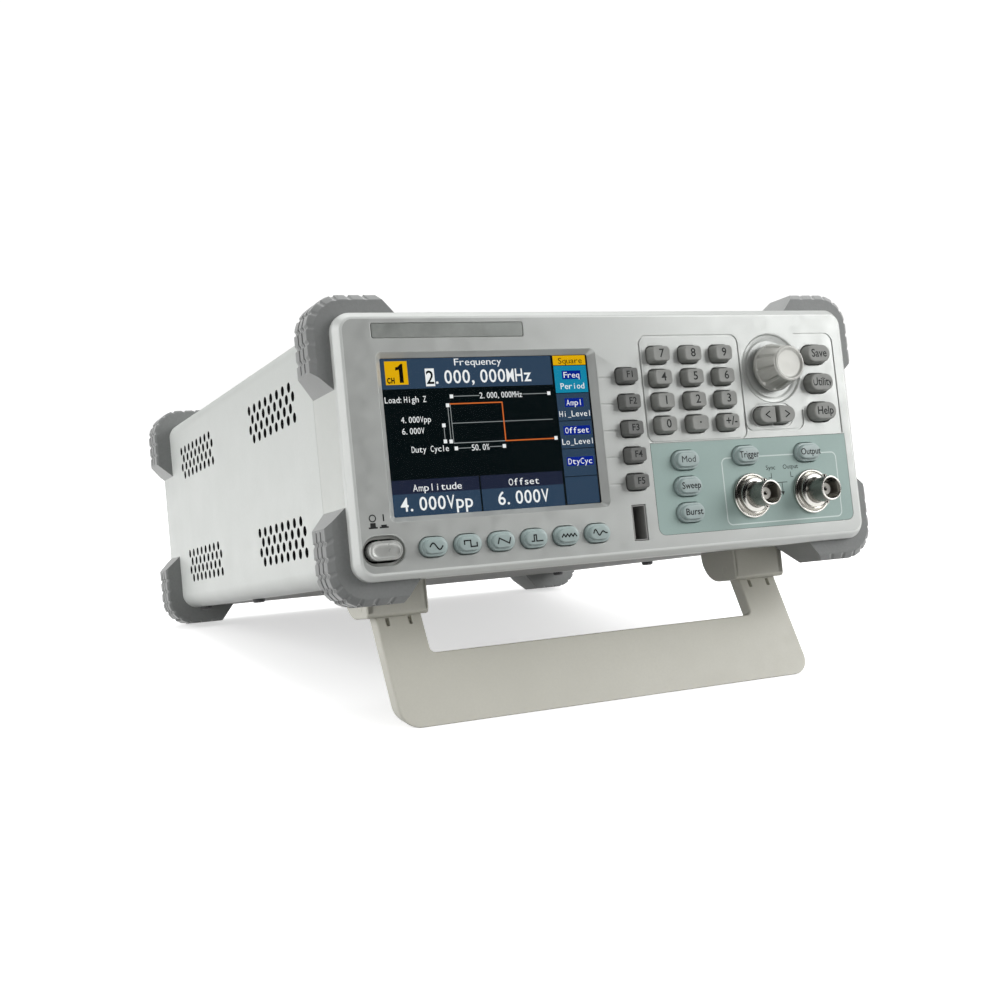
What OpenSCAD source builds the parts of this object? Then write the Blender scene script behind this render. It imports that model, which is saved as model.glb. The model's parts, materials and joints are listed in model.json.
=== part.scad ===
// Bench function generator: sheet-metal case with rubber corner bumpers, moulded front
// with display, keys, knob and coaxial jacks, and a folding bail that raises the front.
// The panel frame has its origin at the centre of the panel's face, +X to the right,
// +Y into the case and +Z up the face. stand() tips it back onto the bench.

/* [Case] */
// Width of the case and the panel
case_w = 220; // [219:0.5:224]
// Height of the case and the panel
case_h = 94; // [93:0.5:97]
// Depth from the panel's face to the outside of the rear panel
case_d = 283.5; // [280:0.5:300]
// Radius of the case's long edges
case_r = 7; // [6:0.5:9]
// Thickness of the sheet metal
sheet_t = 1.2; // [1:0.1:1.4]

/* [Front] */
// Thickness of the panel's wall
panel_t = 2.5; // [2.2:0.1:2.8]
// Width of the bevel round the face
bevel = 2.6; // [2:0.1:3]
// Depth of the bezel, from its face to the front frame
bezel_d = 5.5; // [5.2:0.1:6]
// Depth at which the sheet-metal cover starts
frame_end = 29.5; // [29:0.5:32]
// Width of the display's picture
screen_w = 82.8; // [80:0.1:84]
// Height of the display's picture
screen_h = 55.9; // [54:0.1:56.5]

/* [Controls] */
// Travel of a key
key_travel = 1; // [0.5:0.1:1]
// Play round a key in its hole
key_play = 0.35; // [0.3:0.05:0.4]
// Height of the grey keys above the face
key_proud = 4; // [3:0.5:5]
// Height of the wave keys above the face
wave_proud = 3; // [2:0.5:4]
// Radius of the knob's skirt
knob_r = 9.4; // [8.5:0.1:10]
// Height of the knob above the face
knob_h = 12; // [11:0.5:14]
// Travel of the power button
power_travel = 3; // [2:0.5:3]

/* [Connectors] */
// Radius of a coaxial jack's outer shell
jack_r = 4.85; // [4.8:0.01:4.9]
// Length of a coaxial jack in front of its panel
jack_l = 13; // [12:0.5:14]

/* [Bumpers] */
// Thickness of the rubber outside the case
bumper_t = 7.5; // [7:0.1:8.5]
// Height of the rubber above and below the case
bumper_rise = 8; // [7:0.1:9]
// Length of a front bumper along the case
front_bumper_l = 23.5; // [22:0.5:24]
// Length of a rear bumper along the case
rear_bumper_l = 20.5; // [18:0.5:22]

/* [Stand] */
// Angle by which the bail raises the front
tilt = 10; // [9:0.25:11]
// Lean of the open bail towards the front, from the panel's upright
lean = 23.9; // [22:0.1:25]
// Thickness of the bail
bail_t = 6; // [5.5:0.1:6.2]
// Half of the bail's width
bail_x = 90.5; // [88:0.5:90.5]
// Width of a bail arm
arm_w = 18.5; // [16:0.5:18.5]

/* [Hidden] */
$fn = 64;
over = 1;    // how far a cutter runs past the face that it cuts
big = 400;   // larger than the whole object

// Keys: width, height and corner radius of each kind of cap
function_cap = [8, 6, 1.4];
number_cap = [8.6, 6.6, 1.9];
arrow_cap = [8.2, 7, 3.5];
menu_cap = [12, 7.6, 3.8];
wave_cap = [10.4, 7, 3.5];
power_cap = [12.4, 6.8, 3.4];
function_at = [3.6, 21.5];
function_pitch = 10.05;
number_at = [18.4, 29.2];
number_pitch = [14.3, 9];
wave_at = [-81.1, -36.6];
wave_pitch = 13.1;
mode_at = [26, -11.6];
mode_pitch = 10.05;
trigger_at = [54.1, -11.1];
output_at = [83.8, -11.3];
menu_at = [92.8, 28];
menu_pitch = 11.65;
arrow_at = [[64.4, 4.1], [73.9, 4.1]];
power_at = [-99.3, -36.6];
knob_at = [71.5, 23];
power_proud = 2.4;
stem_w = 4;                   // stem between the power button and its switch
stem_in = 4;                  // how far the stem reaches into the switch
stem_play = 0.5;
switch_y = 24;
switch_l = 20;
switch_size = [12, 10];
key_chamfer = 0.8;
flange_w = 0.8;             // retaining flange round a key, behind the wall
flange_t = 0.8;
flange_y = panel_t + 0.3;

// Behind the panel
dome_r = 2.2;
dome_y = flange_y + flange_t + key_travel + 0.3;
mat_y = dome_y + 0.8;
mat_t = 1.2;
board_y = mat_y + mat_t + 0.3;
board_t = 1.6;
board_right = case_w / 2 - 6.5;
board_left = -2.5;
board_top = case_h / 2 - 7;
board_bottom = 5.2 - case_h / 2;
strip_left = -88.5;
strip_top = -31.9;

jack_clear_r = 9;             // holes in the mat and the board round a jack, the encoder, USB
encoder_clear = 15;
usb_clear = [7.5, 15];

// Display
screen_at = [-52.1, 2.6];
lip = [2.1, 1.6];           // sloping edge of the display's opening, sideways and up
window_t = 1.2;
window_gap = 0.1;
window_margin = 2.5;
module_size = [96, 66];
module_t = 6;
module_sunk = 0.8;            // depth of the picture in the display's metal frame
module_board = [60, 40, 1.6];

// Panel graphics and recesses
bezel_lip = [2.9, 4.5];       // insets of the outside and the inside of the bezel's rear lip
bezel_lip_l = 4;
strip_deep = 0.7;
power_recess = [15.4, 10.3];
power_recess_deep = 1.4;
strip_at = [-67, 40];
strip_size = [59.2, 5.5];
strip_r = 0.8;
strip_sunk = 0.25;
strip_play = 0.2;
overlay_x = [11.4, 104];
overlay_z = [-39.6, -4.5];
overlay_r = 3;
overlay_t = 0.4;
overlay_sunk = 0.02;
overlay_play = 0.1;
line_w = 0.7;
line_deep = 0.35;
line_r = 3.5;
keypad_box = [46, 41.6];      // engraved frames round the keypad, the knob and the arrow keys
keypad_box_at = [33.5, 16.2];
knob_box = [28.6, 39];
knob_box_at = [70.2, 17.4];
knob_box_bottom = 6;
menu_frame_x = 84;            // open left side of the frame round the menu keys
menu_frame_w = 19;
arrow_box = [21, 9.6];
function_line = 7.4;
function_line_at = [-4.3, -0.4];
usb_at = [3.45, -34];
usb_size = [5.8, 13.2];
usb_l = 17;
jack_x = [55.1, 84];
jack_z = -27;
jack_body_r = 6;
jack_play = 0.3;
jack_washer_r = 8.8;
jack_washer_t = 1.6;
jack_washer_edge = 0.8;
jack_body_l = 20;             // length behind the panel
jack_neck_r = 5;
jack_nut = [8, -5.4, -3.2];   // radius of the nut, and both its ends
jack_wall = 0.75;
jack_floor = 4;               // floor of the space between the shell and the insulator
jack_core = [2.4, 3.6];       // radius of the insulator, and its distance from the mouth
jack_contact = [0.7, 4.5];    // radius and floor of the centre contact's hole
rear_jack_play = 0.2;
usb_play = 0.3;
usb_out = 0.3;
usb_tongue = [1.8, 11.2];
usb_tongue_aside = -1.2;

// Encoder and knob
shaft_r = 3;
shaft_fit = 0.05;
knob_gap = 0.6;
knob_bore_l = 3.2;            // from the knob's top down to the end of its bore
knob_flutes = 12;
dish_r = [11.6, 13.8];        // dish round the knob, at its floor and at the face
dish_deep = 1.2;
bush_r = 3.9;
encoder_size = [12, 13];

// Front frame and sheet metal
frame_wall = 2.5;
frame_step = 2;               // shoulder inside the frame's rear edge
frame_lip = 3.8;              // inside of the lip that carries the cover
frame_lip_l = 5.5;            // how far the lip runs under the cover
rear_t = 1.5;
rear_flange_l = 6;
rear_flange_rise = 5;         // the flange starts this far above the case's bottom
tab = 6;                      // half the width of the cover's rear tabs
tab_play = 2;
cover_end = case_d - rear_t;
return_x = case_w / 2 - 12;   // edge of the cover's inward fold under the case
base_z = -case_h / 2;
tuck = 0.3;
vent_r = 1.8;
vent_pitch = 8.07;
vent_rows = 4;
vent_columns = 8;
vent_at = [[52.6, 18.1], [52.6, -32.8], [179.3, 18.1], [179.3, -32.8]];
screw_r = 1.5;
screw_play = 0.1;
screw_head_r = 2.8;
screw_head_t = 1.7;
side_screw_x = return_x + 2.6;
side_screw_y = [60, 157, 254];
rear_screw = [case_w / 2 - 15, case_h / 2 - 9];
screw_l = 5;                  // length of a screw's shank
hook_y = frame_end + 7;       // front of the chassis's side hooks, behind the front frame
hook_w = 6;                   // how far a hook reaches over the cover's fold
hook_end = cover_end - 8;
chassis_wall_h = 15;

// Bumpers
bumper_r = 13;
front_bumper_y = bezel_d;
rear_bumper_y = case_d - rear_bumper_l;
rear_slope = 5.5;             // depth of the sloping edge at a rear bumper's back
leg_side = 26.5;              // length of a bumper's upright leg, on the case
leg_top = 25.5;               // length of its level leg, on the case
groove_w = 1;
groove_deep = 0.9;
foot_y = case_d - rear_slope;
foot_z = base_z - bumper_rise;

// Hinge and bail
pivot = [44.5, base_z - 8];   // height and depth of the hinge pins, as Y and Z
pin_r = 1.5;
pin_fit = 0.05;
pin_sunk = 0.8;               // depth of a pin's end in its hinge block
knuckle_r = 4.2;
hinge_gap = 0.4;
block_y = [37.2, 62];
block_z = base_z - 12.6;
block_wall = 1.55;
block_r = 3;
block_x = [bail_x - arm_w - hinge_gap - 2.1, bail_x + hinge_gap + 3.3];
bar_top = 22.1;               // from the pivot to the upper edge of the bail's bar
bail_corner_r = 8;
bail_spare = 0.2;             // extra length, cut off level with the bench
window_r = 2;
pocket = [31, 16, 1.5];       // shallow pockets in the back of the bail's bar
pocket_z = -34;
pocket_gap = 3;
pocket_floor = -0.2;
slot_x = [77, 86];            // slots at the top of each bail arm
slot = [1.5, 2.5, 3.4];
slot_z = -10;

// Boards inside
pcb_z = base_z + 9.4;
pcb_t = 1.6;
spacer_r = 2.4;
main_x = [-100, 22];
main_y = [80, 266];
supply_x = [32, 100];
supply_y = [120, 255];
board_inset = 6;
usb_b_x = -12;
usb_b_z = pcb_z + pcb_t + 5.7;
usb_b_size = [12, 11];
usb_b_l = 16;
usb_b_out = 0.4;
usb_b_tongue = [5.6, 3.2];
usb_b_play = 0.4;

// Rear connectors
rear_jack_x = [-88, -62, -36];
rear_jack_z = 14;
inlet_at = [66, -14];
inlet_flange = [52, 30];
inlet_body = [46, 25];
inlet_socket = [24.5, 17.5];
inlet_out = 2.5;
inlet_play = 0.5;
socket_deep = 19;
slots_at = [30, 26];          // first of the rear panel's ventilation slots
slots = 10;
slots_pitch = 6;
slot_size = [3, 22];

// Placing the panel frame on the bench: Y and Z of a panel point, once tipped
function row_y(p) = p[0] * cos(tilt) + p[1] * sin(tilt);
function row_z(p) = p[1] * cos(tilt) - p[0] * sin(tilt);
front_most = row_y([-jack_l, jack_z - jack_r]);
rear_most = row_y([case_d + jack_l, rear_jack_z + jack_r]);
lift = -row_z([foot_y, foot_z]);
bail_l = (row_z(pivot) + lift + bail_t / 2 * sin(lean + tilt)) / cos(lean + tilt);

module stand()
    translate([0, -(front_most + rear_most) / 2, lift]) rotate([-tilt, 0, 0]) children();

// Extrusions of a flat outline along each axis, between two places on that axis
module along_x(a, b) translate([a, 0, 0]) rotate([90, 0, 90]) linear_extrude(b - a) children();
module along_y(a, b) translate([0, b, 0]) rotate([90, 0, 0]) linear_extrude(b - a) children();
module along_z(a, b) translate([0, 0, a]) linear_extrude(b - a) children();
module at(p) translate([p[0], 0, p[1]]) children();
module box(low, high) translate(low) cube(high - low);
module rod(r, a, b) translate([0, b, 0]) rotate([90, 0, 0]) cylinder(r = r, h = b - a);

module rounded(w, h, r) {
    if (w > 2 * r) square([w - 2 * r, h], center = true);
    if (h > 2 * r) square([w, h - 2 * r], center = true);
    for (x = [-1, 1], z = [-1, 1])
        translate([x * (w / 2 - r), z * (h / 2 - r)]) circle(r);
}

module outline(inset = 0)
    rounded(case_w - 2 * inset, case_h - 2 * inset, max(case_r - inset, 1));

module ring(outer, inner) difference() {
    outline(outer);
    outline(inner);
}

function turned(points) = [for (p = points) [p[1], p[0]]];

// A width with its two front corners cut at 45 degrees, from front to back
function bevelled(w, front, back, c) = [
    [-w / 2, back], [-w / 2, front + c], [c - w / 2, front],
    [w / 2 - c, front], [w / 2, front + c], [w / 2, back]
];

// A prism with rounded corners whose front edges are bevelled
module bevelled_prism(w, h, r, front, back, c) intersection() {
    along_y(front, back) rounded(w, h, r);
    along_z(-h, h) polygon(bevelled(w, front, back, c));
    along_x(-w, w) polygon(turned(bevelled(h, front, back, c)));
}

// Places of the keys
function function_pos(i) = function_at - [0, i * function_pitch];
function number_pos(c, r) = number_at + [c * number_pitch[0], -r * number_pitch[1]];
function wave_pos(i) = wave_at + [i * wave_pitch, 0];
function mode_pos(i) = mode_at - [0, i * mode_pitch];
function menu_pos(i) = menu_at - [0, i * menu_pitch];

// Runs its children at every key of a kind
module function_keys() for (i = [0:4]) at(function_pos(i)) children();
module number_keys() for (c = [0:2], r = [0:3]) at(number_pos(c, r)) children();
module wave_keys() for (i = [0:5]) at(wave_pos(i)) children();
module menu_keys() for (i = [0:2]) at(menu_pos(i)) children();
module mode_keys() {
    for (i = [0:2]) at(mode_pos(i)) children();
    at(trigger_at) children();
    at(output_at) children();
}

// An arrow key's outline: a half oval, round on one side. side is -1 or 1
module arrow_outline(side, grow = 0) {
    h = arrow_cap[1] + 2 * grow;
    w = arrow_cap[0] + 2 * grow;
    translate([side * (w - h) / 2, 0]) circle(h / 2);
    translate([-side * h / 4, 0]) square([w - h / 2, h], center = true);
}

module cap_outline(cap, grow = 0) rounded(cap[0] + 2 * grow, cap[1] + 2 * grow, cap[2] + grow);

module key_holes() {
    function_keys() along_y(-over, panel_t + over) cap_outline(function_cap, key_play);
    number_keys() along_y(-over, panel_t + over) cap_outline(number_cap, key_play);
    wave_keys() along_y(-over, panel_t + over) cap_outline(wave_cap, key_play);
    menu_keys() along_y(-over, panel_t + over) cap_outline(menu_cap, key_play);
    mode_keys() along_y(-over, panel_t + over) cap_outline(menu_cap, key_play);
    for (i = [0, 1]) at(arrow_at[i])
        along_y(-over, panel_t + over) arrow_outline(2 * i - 1, key_play);
}

module key(cap, proud) {
    bevelled_prism(cap[0], cap[1], cap[2], -proud, flange_y, key_chamfer);
    along_y(flange_y, flange_y + flange_t) cap_outline(cap, flange_w);
}

// Lines engraved in the face: an outline of size w by h with its middle at p
module line_box(w, h, r) along_y(-over, line_deep) difference() {
    rounded(w, h, r);
    rounded(w - 2 * line_w, h - 2 * line_w, r - line_w);
}

module engraving() {
    at(keypad_box_at) line_box(keypad_box[0], keypad_box[1], line_r);
    at(knob_box_at) intersection() {
        line_box(knob_box[0], knob_box[1], line_r);
        box([-big, -big, -big], [big, big, knob_box_bottom]);
    }
    at([menu_frame_x, keypad_box_at[1]]) intersection() {
        line_box(2 * menu_frame_w, keypad_box[1], line_r);
        box([0, -big, -big], [big, big, big]);
    }
    at((arrow_at[0] + arrow_at[1]) / 2) line_box(arrow_box[0], arrow_box[1], arrow_box[1] / 2);
    for (i = [0:4]) at([0, function_pos(i)[1]] + function_line_at)
        along_y(-over, line_deep) square([function_line, line_w], center = true);
}

module front_bezel() color("silver") stand() difference() {
    union() {
        bevelled_prism(case_w, case_h, case_r, 0, bezel_d, bevel);
        along_y(bezel_d, bezel_d + bezel_lip_l) ring(bezel_lip[0], bezel_lip[1]);
    }
    along_y(panel_t, bezel_d + bezel_lip_l + over) outline(bezel_lip[1]);
    at(screen_at) intersection() {
        along_z(-big, big) polygon([
            [-screen_w / 2 - lip[0], 0], [-screen_w / 2 - lip[0], -over],
            [screen_w / 2 + lip[0], -over], [screen_w / 2 + lip[0], 0],
            [screen_w / 2, panel_t], [screen_w / 2, panel_t + over],
            [-screen_w / 2, panel_t + over], [-screen_w / 2, panel_t]
        ]);
        along_x(-big, big) polygon([
            [0, -screen_h / 2 - lip[1]], [-over, -screen_h / 2 - lip[1]],
            [-over, screen_h / 2 + lip[1]], [0, screen_h / 2 + lip[1]],
            [panel_t, screen_h / 2], [panel_t + over, screen_h / 2],
            [panel_t + over, -screen_h / 2], [panel_t, -screen_h / 2]
        ]);
    }
    key_holes();
    engraving();
    at(strip_at) along_y(-over, strip_deep) rounded(strip_size[0], strip_size[1], strip_r);
    along_y(-over, overlay_t) overlay_outline();
    at(power_at) {
        along_y(-over, power_recess_deep)
            rounded(power_recess[0], power_recess[1], power_recess[1] / 2);
        along_y(-over, panel_t + over) cap_outline(power_cap, key_play);
        along_y(panel_t, flange_y + flange_t + power_travel + key_play)
            cap_outline(power_cap, flange_w + key_play);
    }
    at(knob_at) {
        rod(bush_r + key_play, -over, panel_t + over);
        translate([0, dish_deep, 0]) rotate([90, 0, 0])
            cylinder(r1 = dish_r[0], r2 = dish_r[1], h = dish_deep + 0.01);
    }
    for (x = jack_x) at([x, jack_z]) rod(jack_body_r + jack_play, -over, panel_t + over);
    at(usb_at) along_y(-over, panel_t + over)
        square([usb_size[0] + 2 * usb_play, usb_size[1] + 2 * usb_play], center = true);
}

module overlay_outline(shrink = 0) {
    w = overlay_x[1] - overlay_x[0];
    h = overlay_z[1] - overlay_z[0];
    middle = [overlay_x[0] + w / 2, overlay_z[0] + h / 2];
    translate(middle) rounded(w - 2 * shrink, h - 2 * shrink, overlay_r);
    translate(middle + [0, h / 4]) square([w - 2 * shrink, h / 2 - 2 * shrink], center = true);
}

module output_overlay() color("cadetblue") stand() difference() {
    along_y(overlay_sunk, overlay_t) overlay_outline(overlay_play);
    key_holes();
    for (x = jack_x) at([x, jack_z]) rod(jack_body_r + jack_play, -over, over);
}

module name_strip() color("darkgray") stand() at(strip_at)
    along_y(strip_sunk, strip_deep) rounded(
        strip_size[0] - 2 * strip_play, strip_size[1] - 2 * strip_play, strip_r - strip_play
    );

module display_window() color([0.2, 0.22, 0.25]) stand() at(screen_at)
    along_y(panel_t + window_gap, panel_t + window_gap + window_t)
        rounded(screen_w + 2 * window_margin, screen_h + 2 * window_margin, 1);

module lcd_module() color("dimgray") stand() at(screen_at) {
    y = panel_t + window_t + 4 * window_gap;
    difference() {
        along_y(y, y + module_t) rounded(module_size[0], module_size[1], 1.5);
        along_y(y - over, y + module_sunk) square([screen_w, screen_h], center = true);
    }
    along_y(y + module_t, y + module_t + module_board[2])
        square([module_board[0], module_board[1]], center = true);
}

// Outline of the key mat and its board: a field behind the keys and a strip below the screen
module field_outline(inset = 0) {
    translate([board_left + inset, board_bottom + inset])
        square([board_right - board_left - 2 * inset, board_top - board_bottom - 2 * inset]);
    translate([strip_left + inset, board_bottom + inset])
        square([board_left - strip_left + 2, strip_top - board_bottom - 2 * inset]);
}

module key_mat() color("gray") stand() {
    difference() {
        along_y(mat_y, mat_y + mat_t) field_outline(0.5);
        for (x = jack_x) at([x, jack_z]) rod(jack_clear_r, mat_y - over, mat_y + mat_t + over);
        at(knob_at) along_y(mat_y - over, mat_y + mat_t + over) square(encoder_clear, center = true);
        at(usb_at) along_y(mat_y - over, mat_y + mat_t + over) square(usb_clear, center = true);
    }
    function_keys() rod(dome_r, dome_y, mat_y);
    number_keys() rod(dome_r, dome_y, mat_y);
    wave_keys() rod(dome_r, dome_y, mat_y);
    menu_keys() rod(dome_r, dome_y, mat_y);
    mode_keys() rod(dome_r, dome_y, mat_y);
    for (p = arrow_at) at(p) rod(dome_r, dome_y, mat_y);
}

module front_board() color("seagreen") stand() {
    difference() {
        along_y(board_y, board_y + board_t) field_outline();
        for (x = jack_x) at([x, jack_z]) rod(jack_clear_r, board_y - over, board_y + board_t + over);
        at(usb_at) along_y(board_y - over, board_y + board_t + over) square(usb_clear, center = true);
    }
    chips = [[30, 20], [60, 0], [85, 15]];
    chip = [12, 1.8];
    header_at = [24, -30];
    header = [30, 6, 8];
    back_y = board_y + board_t;
    for (c = chips) at(c) along_y(back_y, back_y + chip[1]) square(chip[0], center = true);
    at(header_at) along_y(back_y, back_y + header[2]) square([header[0], header[1]], center = true);
}

module rotary_encoder() color("lightsteelblue") stand() at(knob_at) {
    body_y = panel_t + 0.7;
    bush_y = 0.2;
    along_y(body_y, board_y) square(encoder_size, center = true);
    rod(bush_r, bush_y, body_y);
    rod(shaft_r, knob_bore_l - knob_h, bush_y);
}

// A coaxial jack with its panel's outer face at 0 and its mouth at +Z
module jack() rotate_extrude() polygon([
    [0, -jack_body_l], [jack_neck_r, -jack_body_l], [jack_neck_r, jack_nut[1]],
    [jack_nut[0], jack_nut[1]], [jack_nut[0], jack_nut[2]], [jack_body_r, jack_nut[2]],
    [jack_body_r, 0], [jack_washer_r, 0], [jack_washer_r, jack_washer_t - jack_washer_edge],
    [jack_washer_r - jack_washer_edge, jack_washer_t], [jack_r, jack_washer_t],
    [jack_r, jack_l], [jack_r - jack_wall, jack_l], [jack_r - jack_wall, jack_floor],
    [jack_core[0], jack_floor], [jack_core[0], jack_l - jack_core[1]],
    [jack_contact[0], jack_l - jack_core[1]], jack_contact, [0, jack_contact[1]]
]);

module front_jacks() color("lightgray") stand()
    for (x = jack_x) at([x, jack_z]) rotate([90, 0, 0]) jack();

module rear_jacks() color("lightgray") stand()
    for (x = rear_jack_x) translate([x, case_d, rear_jack_z]) rotate([-90, 0, 0]) jack();

// A USB socket facing -Y with its mouth at 0: its shell, and its tongue moved sideways
module usb_socket(size, depth, tongue, aside) {
    shell = 0.4;
    difference() {
        along_y(0, depth) square(size, center = true);
        along_y(-over, depth - 1) square([size[0] - 2 * shell, size[1] - 2 * shell], center = true);
    }
    translate([aside, 0, 0]) along_y(1.3, depth - 0.5) square(tongue, center = true);
}

module usb_ports() color("lightgray") stand() {
    translate([usb_at[0], usb_out, usb_at[1]])
        usb_socket(usb_size, usb_l, usb_tongue, usb_tongue_aside);
    translate([usb_b_x, case_d + usb_b_out, usb_b_z]) rotate([0, 0, 180])
        usb_socket(usb_b_size, usb_b_l, usb_b_tongue, 0);
}

module front_frame() color("gainsboro") stand() {
    along_y(bezel_d, frame_end) ring(0, frame_wall);
    along_y(frame_end - frame_step, frame_end) ring(frame_step, frame_lip);
    difference() {
        along_y(frame_end - frame_step, frame_end + frame_lip_l) ring(sheet_t + tuck, frame_lip);
        box([-return_x - over, frame_end - over, base_z],
            [return_x + over, frame_end + frame_lip_l + over, base_z + frame_lip + over]);
    }
}

// Staggered round holes on both sides, rows along Y
module vents() for (group = vent_at, row = [0:vent_rows - 1], column = [0:vent_columns - 1]) {
    y = group[0] + (column + (row % 2) / 2) * vent_pitch;
    z = group[1] + row * vent_pitch / 2;
    translate([-case_w, y, z]) rotate([0, 90, 0]) cylinder(r = vent_r, h = 2 * case_w);
}

module case_cover() color("whitesmoke") stand() {
    difference() {
        along_y(frame_end, cover_end) ring(0, sheet_t);
        box([-return_x, 0, base_z - over], [return_x, big, base_z + 2 * sheet_t]);
        vents();
        for (x = [-1, 1], y = side_screw_y) translate([x * side_screw_x, y, base_z - over])
            cylinder(r = screw_r + screw_play, h = screw_l);
    }
    for (x = [-1, 1]) difference() {
        box([x * rear_screw[0] - tab, cover_end - sheet_t, rear_screw[1] - tab],
            [x * rear_screw[0] + tab, cover_end, case_h / 2 - sheet_t / 2]);
        at([x * rear_screw[0], rear_screw[1]])
            rod(screw_r + screw_play, cover_end - screw_l, cover_end + over);
    }
}

// The four spacers under a board
module spacers(xs, ys) for (
    x = [xs[0] + board_inset, xs[1] - board_inset], y = [ys[0] + board_inset, ys[1] - board_inset]
) translate([x, y, base_z + sheet_t]) cylinder(r = spacer_r, h = pcb_z - base_z - sheet_t);

module base_chassis() color("lightgray") stand() {
    plate_x = return_x - tuck;
    lap_z = base_z + sheet_t + 0.2;
    front_wall_x = plate_x - 5;
    rear_wall_x = plate_x - 1;
    box([-plate_x, frame_end, base_z], [plate_x, cover_end, base_z + sheet_t]);
    for (side = [0, 1]) mirror([side, 0, 0]) difference() {
        union() {
            box([plate_x - sheet_t, hook_y, base_z], [plate_x, cover_end, lap_z + sheet_t]);
            box([plate_x - sheet_t, hook_y, lap_z], [return_x + hook_w, hook_end, lap_z + sheet_t]);
        }
        for (y = side_screw_y) translate([side_screw_x, y, base_z - over])
            cylinder(r = screw_r + screw_play, h = screw_l);
    }
    box([-front_wall_x, hook_y, base_z], [front_wall_x, hook_y + sheet_t, base_z + chassis_wall_h]);
    difference() {
        box([-rear_wall_x, cover_end - sheet_t, base_z], [rear_wall_x, cover_end, base_z + chassis_wall_h]);
        for (x = [-1, 1]) at([x * rear_screw[0], -rear_screw[1]])
            rod(screw_r + screw_play, cover_end - screw_l, cover_end + over);
        at([usb_b_x, usb_b_z]) along_y(cover_end - screw_l, cover_end + over) usb_b_hole();
    }
}

module usb_b_hole() 
    square([usb_b_size[0] + 2 * usb_b_play, usb_b_size[1] + 2 * usb_b_play], center = true);

module rear_panel() color("silver") stand() difference() {
    union() {
        along_y(cover_end, case_d) outline();
        difference() {
            along_y(cover_end - rear_flange_l, cover_end) ring(sheet_t + tuck, 2 * sheet_t + tuck);
            box([-case_w, 0, base_z], [case_w, big, base_z + rear_flange_rise]);
            for (x = [-1, 1]) translate([x * rear_screw[0], 0, 0])
                box([-tab - tab_play, 0, 0], [tab + tab_play, big, case_h]);
        }
    }
    for (x = [-1, 1], z = [-1, 1]) at([x * rear_screw[0], z * rear_screw[1]])
        rod(screw_r + screw_play, cover_end - over, case_d + over);
    for (x = rear_jack_x) at([x, rear_jack_z]) 
        rod(jack_body_r + rear_jack_play, cover_end - over, case_d + over);
    at([usb_b_x, usb_b_z]) along_y(cover_end - over, case_d + over) usb_b_hole();
    at(inlet_at) along_y(cover_end - over, case_d + over)
        square([inlet_body[0] + 2 * inlet_play, inlet_body[1] + 2 * inlet_play], center = true);
    for (i = [0:slots - 1]) at(slots_at + [i * slots_pitch, 0])
        along_y(cover_end - over, case_d + over) rounded(slot_size[0], slot_size[1], slot_size[0] / 2);
}

// The outline of one bumper seen from the front, at the upper right corner
module bumper_outline(inset = 0) {
    x = case_w / 2 - leg_top;
    z = case_h / 2 - leg_side;
    difference() {
        rounded(case_w + 2 * (bumper_t - inset), case_h + 2 * (bumper_rise - inset), bumper_r - inset);
        outline();
        polygon([
            [case_w / 2, z], [case_w, z + case_w / 2], [case_w, -case_h], [-case_w, -case_h],
            [-case_w, case_h], [x + case_h / 2, case_h], [x, case_h / 2], [x, z]
        ]);
    }
}

// A side or top view of a bumper, sloping at the back
function bumper_side(half, t, y, l, slope) = [
    [0, y], [half + t, y], [half + t, y + l - slope], [half + t - slope, y + l], [0, y + l]
];

// The four bumpers of one end: a core, three treads round it, and a sloping back edge
module bumpers(y, l, slope) for (x = [0, 1], z = [0, 1]) mirror([x, 0, 0]) mirror([0, 0, z])
    intersection() {
        union() {
            along_y(y, y + l) bumper_outline(groove_deep);
            tread = (l - slope + groove_w) / 3;
            for (i = [0:2]) along_y(y + i * tread, y + (i + 1) * tread - groove_w) bumper_outline();
        }
        along_z(0, case_h) polygon(bumper_side(case_w / 2, bumper_t, y, l, slope));
        along_x(0, case_w) polygon(turned(bumper_side(case_h / 2, bumper_rise, y, l, slope)));
    }

module front_bumpers() color("dimgray") stand()
    bumpers(front_bumper_y, front_bumper_l, bumper_t);

module rear_bumpers() color("dimgray") stand()
    bumpers(rear_bumper_y, rear_bumper_l, rear_slope);

// Side view of a hinge block, as Y and Z: square in front and a quarter round behind
module block_side() {
    r = base_z - block_z;
    front_r = 2;
    intersection() {
        translate([block_y[1] - r, base_z]) circle(r);
        translate([block_y[1] - r, block_z]) square([r, r]);
    }
    translate([block_y[0] + front_r, block_z]) square([block_y[1] - block_y[0] - r - front_r, r]);
    translate([block_y[0], block_z + front_r]) square([2 * front_r, r - front_r]);
    translate([block_y[0] + front_r, block_z + front_r]) circle(front_r);
}

module hinge_blocks() color("tan") stand() for (side = [0, 1]) mirror([side, 0, 0]) difference() {
    intersection() {
        along_x(block_x[0], block_x[1]) block_side();
        translate([(block_x[0] + block_x[1]) / 2, 0, 0])
            along_y(0, big) rounded(block_x[1] - block_x[0], -2 * block_z, block_r);
    }
    box([bail_x - arm_w - hinge_gap, block_y[0] + block_wall, block_z - over],
        [bail_x + hinge_gap, block_y[1] + over, pivot[1] + knuckle_r + hinge_gap]);
    translate([block_x[0] - over, pivot[0], pivot[1]]) rotate([0, 90, 0])
        cylinder(r = pin_r + pin_fit, h = block_x[1] - block_x[0] + 2 * over);
}

module hinge_pins() color("gray") stand() for (side = [0, 1]) mirror([side, 0, 0])
    translate([block_x[0] + pin_sunk, pivot[0], pivot[1]]) rotate([0, 90, 0])
        cylinder(r = pin_r, h = block_x[1] - block_x[0] - 2 * pin_sunk);

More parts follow.
